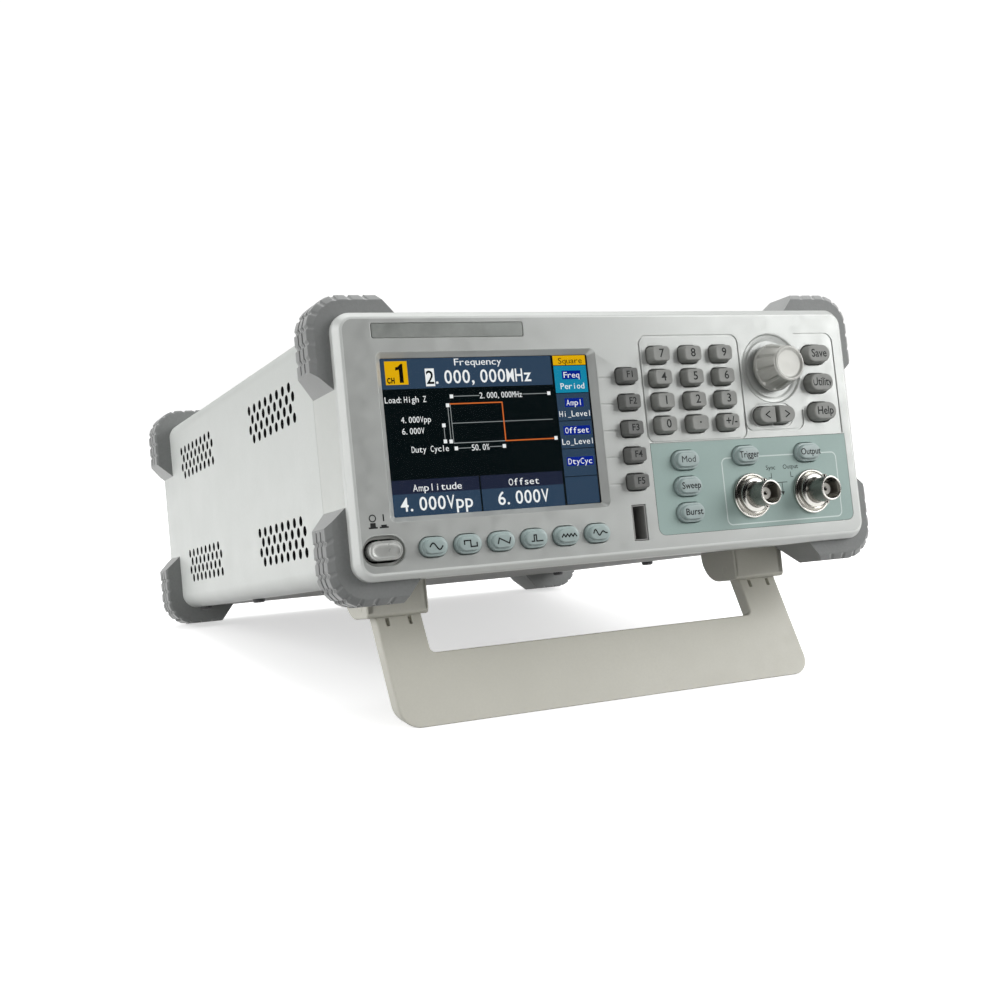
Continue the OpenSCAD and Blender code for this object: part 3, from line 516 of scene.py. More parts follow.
def typed(bm, words, at, pitch, tall, deep, bold=0.0, plane=front, share=0.84):
    """Letters of one height, one to a cell, as an instrument's display sets them. at is the middle
    of the left end."""
    capital = [z for _, z in outline_of("H", bold)[0]]
    size = tall / (max(capital) - min(capital))
    lift = -(max(capital) + min(capital)) / 2 * size
    for i, letter in enumerate(words):
        if letter == " ":
            continue
        across = [x for x, _ in outline_of(letter, bold)[0]]
        wide = (max(across) - min(across)) * size
        narrow = wide < 0.4 * pitch
        stretch = 1.0 if narrow else min(1.4, share * pitch / wide)
        aside = -0.26 * pitch if letter in ".,:" else -(max(across) + min(across)) / 2 * size * stretch
        lettering(bm, letter, (at[0] + (i + 0.5) * pitch + aside, at[1] + lift), size, deep, plane,
                  stretch, bold)


# ---- Front panel ---------------------------------------------------------------------------


def shape_of(w, h, r, at, corner=8):
    """The outline of a rounded opening, as a function of how much it grows."""
    return lambda grow: rounded(w + 2 * grow, h + 2 * grow, r + grow, at, corner)


def round_of(r, at, count=48):
    return lambda grow: circle(r + grow, at, count)


def case_outline(inset=0.0):
    return rounded(CASE_W - 2 * inset, CASE_H - 2 * inset, max(CASE_R - inset, 1), corner=12)


# Keys: kind, node, label. A kind has a width, a height, a corner radius and how far it stands out
CAPS = {
    "soft": (8.0, 6.0, 1.4, 4.0),
    "number": (8.6, 6.6, 1.9, 4.0),
    "menu": (12.0, 7.6, 3.8, 4.0),
    "mode": (12.0, 7.6, 3.8, 3.0),
    "wave": (10.4, 7.0, 3.5, 3.0),
}
KEYS = ([("soft", f"key_f{i}", f"F{i}") for i in range(1, 6)]
        + [("number", f"key_{i}", str(i)) for i in range(10)]
        + [("number", "key_point", "."), ("number", "key_sign", "+/-")]
        + [("menu", f"key_{w.lower()}", w) for w in ("Save", "Utility", "Help")]
        + [("mode", f"key_{w.lower()}", w) for w in ("Mod", "Sweep", "Burst", "Trigger", "Output")]
        + [("wave", f"key_{w}", w) for w in ("sine", "square", "ramp", "pulse", "noise", "arb")])
ARROWS = (("key_left", -1), ("key_right", 1))
ARROW = (8.2, 7.0)
POWER_AT = middle("power_button")
POWER_CAP = (12.4, 6.8, 3.4)


def key_hole(kind, name):
    w, h, r, _ = CAPS[kind]
    play = PLAY if kind in ("soft", "number", "menu") else PALE_PLAY
    return shape_of(w + 2 * play, h + 2 * play, r + play, middle(name))


def arrow_hole(name, side):
    return lambda grow: half_oval(ARROW[0] + 2 * (PLAY + grow), ARROW[1] + 2 * (PLAY + grow), side,
                                  middle(name), 0.5)


def groove(bm, shape_out, shape_in, deep=0.35, edge=0.12):
    """A closed engraved line between two outlines. Returns the pair for flat()."""
    outside = hole(bm, shape_out, deep, edge, steps=2)
    inside = hole(bm, lambda grow: shape_in(-grow), deep, edge, steps=2)
    flat(bm, shape_out(0), [shape_in(0)], deep=deep)
    return outside, inside


def line_groove(bm, path, width=LINE_W, deep=0.35, edge=0.12):
    return hole(bm, lambda grow: stroke(path, width + 2 * grow), deep, edge, floor=True, steps=2)


def box_groove(bm, w, h, r, at, width=LINE_W):
    return groove(bm, shape_of(w, h, r, at), shape_of(w - 2 * width, h - 2 * width, r - width, at))


KEYPAD_BOX, KEYPAD_BOX_AT = (46.0, 41.6), (33.5, 16.2)
LINE_R = 3.5
FACE_INSET = 2.85                           # from the case's outline to the flat of the panel


def overlay_outline(grow=0.0):
    """Square above and round below."""
    left, right = OVERLAY_X[0] - grow, OVERLAY_X[1] + grow
    low, high = OVERLAY_Z[0] - grow, OVERLAY_Z[1] + grow
    r = 3.0 + grow
    return ([(right, high), (left, high)] + bend((left + r, low + r), r, 180, 270)
            + bend((right - r, low + r), r, 270, 360))


def screen_opening(bm):
    w, h = SCREEN
    lip = (2.1, 1.6)
    steps = [(1.0, 0.0), (0.96, 0.06), (0.88, 0.22), (0.80, 0.45), (0.0, PANEL_T)]
    rings = []
    for share, deep in steps:
        loop = rounded(w + 2 * lip[0] * share + 0.6 * share, h + 2 * lip[1] * share + 0.6 * share,
                       0.6 + 1.6 * share, SCREEN_AT)
        rings.append(lifted(loop, front, deep))
    skin(bm, rings)
    return [(p.x, p.z) for p in rings[0]]


def turned_opening(bm, at, profile, count=64):
    """A round opening: radii and depths."""
    rings = [lifted(circle(r, at, count), front, deep) for r, deep in profile]
    skin(bm, rings)
    return circle(profile[0][0], at, count)


def front_bezel():
    bm = bmesh.new()
    rim = [(4.5, 9.5), (3.2, 9.5), (2.9, 9.2), (2.9, BEZEL_D), (0.25, BEZEL_D), (0.07, 5.43), (0.0, 5.25),
           (0.0, 3.3), (0.07, 2.9), (0.3, 2.5), (1.75, 0.5), (2.05, 0.2), (2.45, 0.03), (FACE_INSET, 0.0)]
    skin(bm, [lifted(case_outline(inset), front, deep) for inset, deep in rim])
    # the rim takes the lighter copy of the bezel paint, painted light on the bevel
    tint(bm, 0, 1)
    made = len(bm.faces)
    cuts = [screen_opening(bm)]
    for kind, name, _ in KEYS:
        if kind != "mode":
            cuts.append(hole(bm, key_hole(kind, name), PANEL_T))
    for name, side in ARROWS:
        cuts.append(hole(bm, arrow_hole(name, side), PANEL_T, 0.2))
    cuts.append(hole(bm, shape_of(*USB_HOLE, 0.3, USB_AT), PANEL_T, 0.15))
    cuts.append(hole(bm, overlay_outline, OVERLAY_DEEP, 0.15))
    # recess of the name strip, and of the power button with the button's hole in it
    low, high = cad("name_strip")
    cuts.append(hole(bm, shape_of(high.x - low.x + 0.4, high.z - low.z + 0.4, 0.8,
                                  middle("name_strip")), 0.7, 0.25, floor=True))
    recess_deep = 1.4
    recess = shape_of(15.4, 10.3, 5.15, POWER_AT)
    button_hole = shape_of(*[s + 2 * BUTTON_PLAY for s in POWER_CAP[:2]],
                           POWER_CAP[2] + BUTTON_PLAY, POWER_AT)
    cuts.append(hole(bm, recess, recess_deep, 0.5))
    # the recess floor and the wall of the button's hole take the dark key grey: painted shade round the
    # button
    shaded = len(bm.faces)
    flat(bm, recess(0), [hole(bm, button_hole, PANEL_T - recess_deep, 0.2, top=recess_deep)],
         deep=recess_deep)
    dark = bm.faces[:][shaded:]
    # dish round the knob
    cuts.append(turned_opening(bm, middle("knob"), [
        (14.3, 0), (14.1, 0.03), (13.8, 0.2), (13.5, 0.6), (12.6, 0.75), (12.2, 0.8), (11.5, 1.1),
        (11.2, 1.2), (4.6, 1.2), (4.3, 1.4), (4.3, PANEL_T)]))
    # engraved frames and leads
    cuts.append(box_groove(bm, *KEYPAD_BOX, LINE_R, KEYPAD_BOX_AT))
    high_z = KEYPAD_BOX_AT[1] + KEYPAD_BOX[1] / 2
    half = LINE_W / 2
    left, right, top = 55.9 + half, 84.5 - half, 6.0
    floor_z = -2.1 + half
    knob_frame = ([(left, top)] + bend((left + LINE_R, floor_z + LINE_R), LINE_R, 180, 270)
                  + bend((right - LINE_R, floor_z + LINE_R), LINE_R, 270, 360) + [(right, top)])
    cuts.append(line_groove(bm, knob_frame))
    right = 102.9
    menu_frame = ([(84.0, high_z - half)] + bend((right - LINE_R, high_z - half - LINE_R), LINE_R, 90, 0)
                  + [(right, OVERLAY_Z[1] + 0.5)])
    cuts.append(line_groove(bm, menu_frame))
    arrows_at = ((middle("key_left")[0] + middle("key_right")[0]) / 2, middle("key_left")[1])
    cuts.append(box_groove(bm, 21.0, 9.6, 4.8, arrows_at, 0.6))
    for i in range(1, 6):
        z = middle(f"key_f{i}")[1] - 0.4
        cuts.append(line_groove(bm, [(-7.9, z), (-1.1, z)]))
    flat(bm, case_outline(FACE_INSET), cuts)
    tint(bm, made, 0)
    # painted shade: the power button's recess in dark key grey
    for face in dark:
        face.material_index = 2
    finish_piece("bezel", bm, ["bezel", "rim", "key"],
                 replaces=["front_bezel"])


def front_frame():
    bm = bmesh.new()
    rim = [(2.6, BEZEL_D), (0.25, BEZEL_D), (0.07, BEZEL_D + 0.07), (0, BEZEL_D + 0.25),
           (0, FRAME_END - 0.25), (0.07, FRAME_END - 0.07), (0.25, FRAME_END), (3.8, FRAME_END)]
    skin(bm, [lifted(case_outline(inset), front, deep) for inset, deep in rim])
    finish_piece("front_moulding", bm, ["frame"], replaces=["front_frame"])


def overlay():
    bm = bmesh.new()
    cuts = [hole(bm, key_hole(kind, name), PANEL_T, 0.2, top=0.02)
            for kind, name, _ in KEYS if kind == "mode"]
    cuts += [circle(6.3, (x, JACK_Z)) for x in JACK_X]
    flat(bm, overlay_outline(-0.1), cuts, deep=0.02)
    finish_piece("overlay_film", bm, ["overlay"], replaces=["output_overlay"],
                 facing=(0, -1, 0))
    # pale frame round the two jacks, printed
    bm = bmesh.new()
    frame_w, frame_h, frame_at = 55.9, 26.5, (70.55, -24.75)
    flat(bm, rounded(frame_w, frame_h, 2.5, frame_at), [rounded(frame_w - 1, frame_h - 1, 2.0, frame_at)]
         + [key_hole("mode", name)(0.3) for name in ("key_trigger", "key_output")], deep=PRINT)
    finish_piece("overlay_frame_line", bm, ["overlay_line"], facing=(0, -1, 0))
    # legends over the jacks
    bm = bmesh.new()
    text_z = -16.6
    lettering(bm, "Sync", (65.6, text_z), 2.5, PRINT)
    lettering(bm, "Output", (75.2, text_z), 2.5, PRINT)
    for path in ([(65.6, -18.6), (65.6, -20.6), (64.2, -20.6)],
                 [(75.0, -18.6), (75.0, -20.6), (76.2, -20.6)], [(70.4, -22.6), (70.4, -26.4)],
                 [(67.8, -22.6), (73.0, -22.6)]):
        flat(bm, stroke(path, 0.25), deep=PRINT)
    flat(bm, [(69.6, -26.2), (71.2, -26.2), (70.4, -27.8)][::-1], deep=PRINT)
    finish_piece("overlay_legends", bm, ["ink"], facing=(0, -1, 0))


def name_strip():
    bm = bmesh.new()
    low, high = cad("name_strip")
    stack(bm, shape_of(high.x - low.x, high.z - low.z, 0.6, middle("name_strip"), 4),
          [(0, 0.7), (0, 0.4), (0.06, 0.29), (0.18, 0.25)])
    finish_piece("blank_strip", bm, ["strip"], replaces=["name_strip"])


# ---- Keys ----------------------------------------------------------------------------------


def cap_profile(out, draft, edge, dish, top_share=0.5):
    """Insets and depths of a cap: a drafted side, a rounded edge and a slightly hollow top."""
    profile = [(0.0, 2.4), (0.0, 0.2)]
    for k in range(6):
        a = math.pi / 2 * k / 5
        profile.append((draft + edge * (1 - math.cos(a)), -(out - edge) - edge * math.sin(a)))
    profile.append((draft + edge + top_share, -out + dish * 0.7))
    profile.append((draft + edge + 2.0, -out + dish))
    return profile


def stepped_profile(out):
    """A cap with a ledge round its raised middle."""
    ledge = out * 0.5
    return [(0.0, 2.4), (0.0, 0.2), (0.12, -ledge + 0.35), (0.22, -ledge + 0.1), (0.42, -ledge),
            (0.85, -ledge), (0.95, -ledge - 0.12), (1.05, -out + 0.45), (1.16, -out + 0.2),
            (1.35, -out + 0.06), (1.6, -out), (2.6, -out - 0.02)]


ICONS = {
    "sine": [(-2.4 + 0.2 * i, 1.15 * math.sin(2 * math.pi * i / 24)) for i in range(25)],
    "square": [(-2.4, -0.2), (-2.4, 1.1), (0, 1.1), (0, -1.1), (2.4, -1.1), (2.4, 0.2)],
    "ramp": [(-2.5, -0.9), (-1.9, 1.0), (1.9, -1.0), (2.5, 0.9)],
    "pulse": [(-2.2, -1.1), (-1.2, -1.1), (-1.2, 1.1), (-0.3, 1.1), (-0.3, -1.1), (2.2, -1.1)],
    "noise": [(-3.0 + 0.75 * i, 1.0 * (i % 2) - 0.5) for i in range(9)],
    "arb": [(-2.9 + 0.2 * i, (1.4 - 0.045 * i) * math.sin(2 * math.pi * i / 16)) for i in range(29)],
}
LABEL_SIZE = {"soft": 3.6, "number": 4.6, "menu": 4.6, "mode": 3.6}


def sharp_stroke(bm, path, width, at, deep):
    """An icon's line, joined square at its corners."""
    for a, b in zip(path, path[1:]):
        along = (Vector(b) - Vector(a)).normalized() * width * 0.35
        flat(bm, [(at[0] + x, at[1] + z) for x, z in stroke([
            (a[0] - along.x, a[1] - along.y), (b[0] + along.x, b[1] + along.y)], width)], deep=deep)


def key_cap(kind, name, label):
    w, h, r, out = CAPS[kind]
    at = middle(name)
    bm = bmesh.new()
    if kind in ("mode", "wave"):
        profile = stepped_profile(out)
    elif kind == "menu":
        profile = cap_profile(out, 0.35, 0.7, 0.08)
    else:
        profile = cap_profile(out, 0.45, 0.55, 0.1, 0.4)
    stack(bm, shape_of(w, h, r, at, 6), profile)
    made = len(bm.faces)
    deep = profile[-1][1] - 0.03
    if kind == "wave":
        sharp_stroke(bm, ICONS[label], 0.5, at, deep)
    elif label == ".":
        lettering(bm, "•", at, 3.2, deep)
    else:
        wide = {"Utility": 0.84, "Trigger": 0.84, "Output": 0.9, "Sweep": 0.9, "Save": 0.92, "Help": 0.92}
        lettering(bm, label, at, LABEL_SIZE[kind], deep, stretch=wide.get(label, 1.0),
                  bold=0 if label == "Mod" else 0.013)
    tint(bm, made, 1)
    colour, slot = {"mode": ("pale", "key_pale"), "wave": ("pale", "key_pale"),
                    "soft": ("key_dark", "key_grey")}.get(kind, ("key", "key_grey"))
    finish_piece(f"{name}_cap", bm, [colour, "ink"], name, [name])


def arrow_cap(name, side):
    at = middle(name)
    bm = bmesh.new()
    stack(bm, lambda grow: half_oval(ARROW[0] + 2 * grow, ARROW[1] + 2 * grow, side, at,
                                     max(0.5 + grow, 0.15)), cap_profile(4.0, 0.25, 0.5, 0.08))
    made = len(bm.faces)
    tip, half = 0.95 * side, 1.25
    path = [(-tip, half), (tip, 0), (-tip, -half)]
    sharp_stroke(bm, path, 0.5, at, -3.96)
    tint(bm, made, 1)
    finish_piece(f"{name}_cap", bm, ["key", "ink"], name, [name])


def power_button():
    bm = bmesh.new()
    low = cad("power_button")[0]
    out = -low.y
    stack(bm, shape_of(*POWER_CAP, POWER_AT, 10), [
        (0, 2.4), (0, 0.2 - out + 0.5), (0.1, 0.2 - out + 0.12), (0.32, 0.02 - out), (0.75, -out),
        (1.0, 0.05 - out), (1.2, 0.3 - out), (1.5, 0.42 - out), (2.6, 0.45 - out)])
    finish_piece("power_button_cap", bm, ["button"], "power_button", ["power_button"])
    # marks above it: out is off and in is on
    bm = bmesh.new()
    low_z, foot_w = POWER_AT[1] + 8.1, 3.3
    for x, tall in ((-3.2, 1.5), (0.8, 0.7)):
        at = (POWER_AT[0] + x, POWER_AT[1] + 11.4)
        if x < 0:
            flat(bm, circle(1.35, at, 24), [circle(0.95, at, 24)], deep=-0.03)
        else:
            flat(bm, rounded(0.5, 2.4, 0.1, at), deep=-0.03)
        flat(bm, rounded(foot_w, 0.55, 0.1, (at[0], low_z)), deep=-0.03)
        flat(bm, rounded(foot_w * 0.6, tall, 0.1, (at[0], low_z + 0.2 + tall / 2)), deep=-0.035)
    finish_piece("power_marks", bm, ["ink"], facing=(0, -1, 0))


def knob():
    at = middle("knob")
    crown = KNOB_R - 2.6

    def flute(angle, along):
        if not 2.6 < along < KNOB_H - 1.0:
            return 0
        near = (angle / (2 * math.pi) * 10) % 1
        return 0.75 * max(0.0, 1 - (min(near, 1 - near) / 0.17) ** 2)

    bm = bmesh.new()
    profile = [(4.2, 0.6), (KNOB_R - 0.3, 0.6), (KNOB_R, 0.9), (KNOB_R, 2.1), (KNOB_R - 0.25, 2.45),
               (KNOB_R - 0.35, 2.62)]
    waist = KNOB_R - 0.4
    for k in range(9):
        share = k / 8
        profile.append((waist - (waist - crown - 0.45) * share ** 1.2, 2.7 + (KNOB_H - 4.0) * k / 8))
    profile += [(crown + 0.35, KNOB_H - 0.95), (crown + 0.2, KNOB_H - 0.4), (crown - 0.1, KNOB_H - 0.08),
                (crown - 0.5, KNOB_H), (crown - 0.85, KNOB_H - 0.08), (crown - 1.1, KNOB_H - 0.35),
                (crown - 1.8, KNOB_H - 0.5), (0.01, KNOB_H - 0.42)]
    lathe(bm, (at[0], 0, at[1]), (0, -1, 0), profile, 120, flute)
    finish_piece("knob_cap", bm, ["knob"], "knob", ["knob"], crease=50)


# ---- Display -------------------------------------------------------------------------------


def srgb(*levels):
    """Screen levels from 0 to 255, as linear light."""
    return tuple((c / 255 / 12.92) if c < 11 else ((c / 255 + 0.055) / 1.055) ** 2.4 for c in levels)


DISPLAY_COLOURS = {
    "ground": srgb(6, 14, 16), "slate": srgb(50, 70, 92), "dusk": srgb(34, 40, 60),
    "amber": srgb(232, 178, 12), "cyan": srgb(24, 138, 172), "blue": srgb(10, 36, 140),
    "white": srgb(248, 250, 250), "orange": srgb(222, 112, 50), "line": srgb(150, 156, 156),
    "dark": srgb(14, 12, 8),
}
PICTURE_DEEP = PANEL_T + 1.45
LAYER_T = 0.02                              # between one layer of the picture and the next
LETTER_CELL = 1.45                          # width of a small letter's cell, in mm
TAB_CELL = 1.72
NAME_CELL = 2.12
DIGIT_CELL = 3.53


class Picture:
    """Flat areas, letters and lines on the display, placed by shares of its width and height."""

    def __init__(self):
        self.bm = bmesh.new()
        self.names = list(DISPLAY_COLOURS)

    def at(self, u, v):
        return SCREEN_AT[0] + (u - 0.5) * SCREEN[0], SCREEN_AT[1] + (v - 0.5) * SCREEN[1]

    def paint(self, colour, draw):
        made = len(self.bm.faces)
        draw()
        tint(self.bm, made, self.names.index(colour))

    def area(self, low, high, colour, layer=1):
        corners = [(low[0], low[1]), (high[0], low[1]), (high[0], high[1]), (low[0], high[1])]
        ring = [front(*self.at(*c), PICTURE_DEEP - LAYER_T * layer) for c in corners]
        self.paint(colour, lambda: lid(self.bm, ring))

    def words(self, text, at, cell, tall, colour="white", layer=4, middle=True, bold=0.0):
        """Letters in cells: at is their middle, or the middle of their left end."""
        x, z = self.at(*at)
        x -= len(text) * cell / 2 if middle else 0
        deep = PICTURE_DEEP - LAYER_T * layer
        self.paint(colour, lambda: typed(self.bm, text, (x, z), cell, tall, deep, bold))

    def line(self, points, width, colour, layer=3):
        self.paint(colour, lambda: sharp_stroke(self.bm, [self.at(*p) for p in points], width, (0, 0),
                                                PICTURE_DEEP - LAYER_T * layer))

    def arrow(self, a, b):
        """A dimension line with a small block at each end."""
        self.line([a, b], 0.26, "line")
        for u, v in (a, b):
            self.area((u - 0.008, v - 0.012), (u + 0.008, v + 0.012), "white", 4)

    def one(self, at):
        """The channel's figure, heavy and without a foot."""
        x, z = self.at(*at)
        half, stem, flag = 3.4, 0.75, (-2.1, 2.3, 1.0)
        loop = [(-stem, -half), (stem, -half), (stem, half), (0.1, half), (flag[0] / 2, flag[1] + 0.1),
                (flag[0], flag[1] - 0.2), (flag[0], flag[2]), (-stem, flag[2] + 0.3)]
        self.paint("dark", lambda: flat(self.bm, [(x + a, z + b) for a, b in loop],
                                        deep=PICTURE_DEEP - 0.08))


def display():
    pic = Picture()
    header_end, header, column = 0.823, 0.807, 0.834
    small, name_tall, digit_tall = 2.15, 2.45, 4.8
    pic.area((0, 0), (1, 1), "ground", 0)
    pic.area((0, header), (header_end, 1), "slate")
    pic.area((0.026, 0.835), (0.129, 0.985), "amber", 2)
    pic.words("CH", (0.0495, 0.862), 1.55, 2.1, "dark", bold=0.05)
    pic.one((0.099, 0.9075))
    pic.words("Frequency", (0.463, 0.972), NAME_CELL, name_tall)
    digits_v, digits_u = 0.877, 0.2303
    cell = DIGIT_CELL / SCREEN[0]
    pic.area((digits_u - cell / 2, digits_v - 0.057), (digits_u + cell / 2, digits_v + 0.057), "white", 2)
    pic.words("2", (digits_u, digits_v), DIGIT_CELL, digit_tall, "ground", bold=0.012)
    pic.words(".000,000MHz", (digits_u + cell / 2, digits_v), DIGIT_CELL, digit_tall, middle=False,
              bold=0.01)
    # plot
    left, middle_u, right, high, mid, low = 0.312, 0.561, 0.81, 0.702, 0.577, 0.449
    for text, at in (("Load:High Z", (0.0115, 0.739)), ("4.000Vpp", (0.077, 0.61)),
                     ("6.000V", (0.077, 0.538)), ("Duty Cycle", (0.112, 0.42))):
        pic.words(text, at, LETTER_CELL, small, middle=False)
    pic.line([(left, mid), (right - 0.007, mid)], 0.24, "line")
    pic.line([(left, low), (right, low)], 0.28, "line")
    pic.line([(left, high), (left, low)], 0.24, "line")
    pic.line([(left, high), (middle_u, high), (middle_u, low), (right, low)], 0.42, "orange", 4)
    pic.area((right - 0.008, low - 0.01), (right + 0.008, low + 0.014), "white", 5)
    pic.arrow((0.300, high - 0.008), (0.300, low + 0.012))
    pic.arrow((0.273, mid - 0.011), (0.273, low + 0.014))
    for start, end, v, text in ((left + 0.01, 0.797, 0.7505, "2.000,000MHz"),
                                (left + 0.009, middle_u - 0.01, 0.415, "50.0%")):
        pic.arrow((start, v), (end, v))
        half = LETTER_CELL / SCREEN[0] * len(text) / 2
        pic.area(((start + end) / 2 - half, v - 0.022), ((start + end) / 2 + half, v + 0.022), "ground", 4)
        pic.words(text, ((start + end) / 2, v), LETTER_CELL, small, layer=5)
    # readings along the bottom
    band, band_top, split = 0.143, 0.231, 0.417
    for a, b, name, value, name_u, value_u in (
            (0, split - 0.004, "Amplitude", "4.000Vpp", 0.216, 0.207),
            (split + 0.004, header_end, "Offset", "6.000V", 0.629, 0.62)):
        pic.area((a, 0), (b, band), "slate")
        pic.area((a, band), (b, band_top), "dusk")
        pic.words(name, (name_u, 0.178), NAME_CELL, name_tall)
        pic.words(value, (value_u, 0.077), DIGIT_CELL, digit_tall, bold=0.01)
    # soft key column
    tab, gap = 0.931, 0.005
    pic.area((column, tab + gap), (1, 1), "amber")
    centre = (column + 1) / 2 + 0.004
    pic.words("Square", (centre, 0.965), TAB_CELL, small, "dark")
    cells = [("Freq", "Period"), ("Ampl", "Hi_Level"), ("Offset", "Lo_Level"), ("DtyCyc", ""), ("", "")]
    tall = tab / len(cells)
    for i, (first, second) in enumerate(cells):
        top = tab - i * tall
        pic.area((column, top - tall + gap), (1, top), "slate" if i else "cyan")
        if first:
            half = TAB_CELL / SCREEN[0] * len(first) / 2 + 0.006
            first_v = top - (0.062 if second else 0.083)
            pic.area((centre - half, first_v - 0.029), (centre + half, first_v + 0.029), "blue", 2)
            pic.words(first, (centre, first_v), TAB_CELL, small)
            pic.words(second, (centre, top - 0.137), TAB_CELL, small)
    finish_piece("display_picture", pic.bm, [f"lit_{n}" for n in pic.names],
                 replaces=["lcd_module"], facing=(0, -1, 0))
    # the module's own frame behind the window
    bm = bmesh.new()
    w, h = 96.0, 66.0
    opening = shape_of(*SCREEN, 0.3, SCREEN_AT)
    cut = hole(bm, opening, 0.5, 0.1, top=PICTURE_DEEP - 0.05)
    flat(bm, rounded(w - 1, h - 1, 1.5, SCREEN_AT), [cut], deep=PICTURE_DEEP - 0.05)
    stack(bm, shape_of(w, h, 2.0, SCREEN_AT), [(0.5, PICTURE_DEEP - 0.05), (0.0, PICTURE_DEEP + 0.4),
                                               (0.0, PICTURE_DEEP + 5.6), (0.4, PICTURE_DEEP + 6.0)])
    finish_piece("display_frame", bm, ["black"])
    bm = bmesh.new()
    low, high = cad("display_window")
    profile = [(0.2, low.y), (0, low.y + 0.2), (0, high.y - 0.2), (0.2, high.y)]
    shape = shape_of(high.x - low.x, high.z - low.z, 1.0, SCREEN_AT)
    lid(bm, lifted(shape(-0.2), front, low.y))
    stack(bm, shape, profile)
    finish_piece("window", bm, ["glass"], replaces=["display_window"])


for colour_name, colour_value in DISPLAY_COLOURS.items():
    M[f"lit_{colour_name}"] = lit(f"display_{colour_name}", colour_value)

# ---- Connectors ----------------------------------------------------------------------------

JACK_SHELL = [
    (5.0, -2.0), (5.0, 0.03), (8.5, 0.03), (8.75, 0.14), (8.8, 0.4), (8.8, 0.9), (8.7, 1.25), (8.45, 1.45),
    (8.1, 1.45), (7.85, 1.25), (7.7, 0.9), (7.2, 0.6), (6.75, 0.55), (6.6, 0.7), (6.55, 1.0), (6.55, 2.5),
    (6.4, 2.85), (6.0, 3.0), (5.5, 3.05), (5.1, 3.3), (JACK_R, 3.7), (JACK_R, JACK_L - 0.35),
    (JACK_R - 0.1, JACK_L - 0.1), (JACK_R - 0.3, JACK_L), (JACK_R - 0.5, JACK_L),
    (JACK_R - 0.68, JACK_L - 0.1), (JACK_R - 0.75, JACK_L - 0.35), (JACK_R - 0.75, 4.0), (0.01, 4.0)]
JACK_INSULATOR = [(2.4, 4.0), (2.4, 9.0), (2.3, 9.3), (2.05, 9.4), (1.15, 9.4), (0.95, 9.3), (0.9, 9.0),
                  (0.9, 8.4)]
JACK_CONTACT = [(0.9, 8.9), (0.75, 9.0), (0.6, 8.9), (0.55, 8.6), (0.55, 5.0), (0.01, 5.0)]


def jacks(name, places, plane, out, node_name):
    bm = bmesh.new()
    for x, z in places:
        origin = plane(x, z, 0)
        made = len(bm.faces)
        lathe(bm, origin, out, JACK_SHELL[:20], 64)
        for side in (-1, 1):
            lug = Vector((0, 0, side))
            lathe(bm, origin + Vector(out) * 9.2, lug, [
                (1.0, JACK_R - 0.4), (1.0, JACK_R + 0.75), (0.85, JACK_R + 0.95), (0.5, JACK_R + 1.0),
                (0.01, JACK_R + 1.0)], 20)
        tint(bm, made, 0)
        # the barrel takes the darker nickel as painted shade
        for profile, count, index in ((JACK_SHELL[19:22], 64, 2), (JACK_SHELL[21:], 64, 0),
                                      (JACK_INSULATOR, 32, 1), (JACK_CONTACT, 20, 0)):
            made = len(bm.faces)
            lathe(bm, origin, out, profile, count)
            tint(bm, made, index)
    finish_piece(name, bm, ["nickel", "dielectric", "barrel"], replaces=[node_name])


def usb_socket(bm, size, at, depth, tongue, aside, plane, top):
    """A folded shell round a tongue."""
    shell = 0.4
    outer = shape_of(*size, 0.5, at, 4)
    inner = shape_of(size[0] - 2 * shell, size[1] - 2 * shell, 0.25, at, 4)
    made = len(bm.faces)
    flat(bm, outer(0), [inner(0)], plane, top)
    skin(bm, [lifted(outer(0), plane, top), lifted(outer(0), plane, top + depth)])
    skin(bm, [lifted(inner(0), plane, top), lifted(inner(0), plane, top + depth - 1)])
    flat(bm, inner(0), plane=plane, deep=top + depth - 1)
    tint(bm, made, 0)
    made = len(bm.faces)
    where = (at[0] + aside, at[1])
    stack(bm, shape_of(*tongue, 0.2, where, 3),
          [(0, top + depth - 1), (0, top + 3.5), (0.15, top + 3.3)], plane)
    tint(bm, made, 1)
    made = len(bm.faces)
    for i in range(4):
        strip_z = at[1] + (i - 1.5) * tongue[1] * 0.22
        flat(bm, rounded(0.7, tongue[1] * 0.08, 0.05, (where[0], strip_z)), plane=plane, deep=top + 3.28)
    tint(bm, made, 2)


def usb_sockets():
    bm = bmesh.new()
    usb_socket(bm, (5.8, 13.2), USB_AT, 16.6, (1.8, 11.2), -1.2, front, 0.3)
    low, high = cad("usb_ports")
    rear_at = (low.x + 6.0, high.z - 5.5)
    usb_socket(bm, (12.0, 11.0), rear_at, 16.0, (5.6, 3.2), 0.0, back, -0.4)
    finish_piece("usb_sockets", bm, ["tongue", "tongue", "black"],
                 replaces=["usb_ports"])


# ---- Case ----------------------------------------------------------------------------------

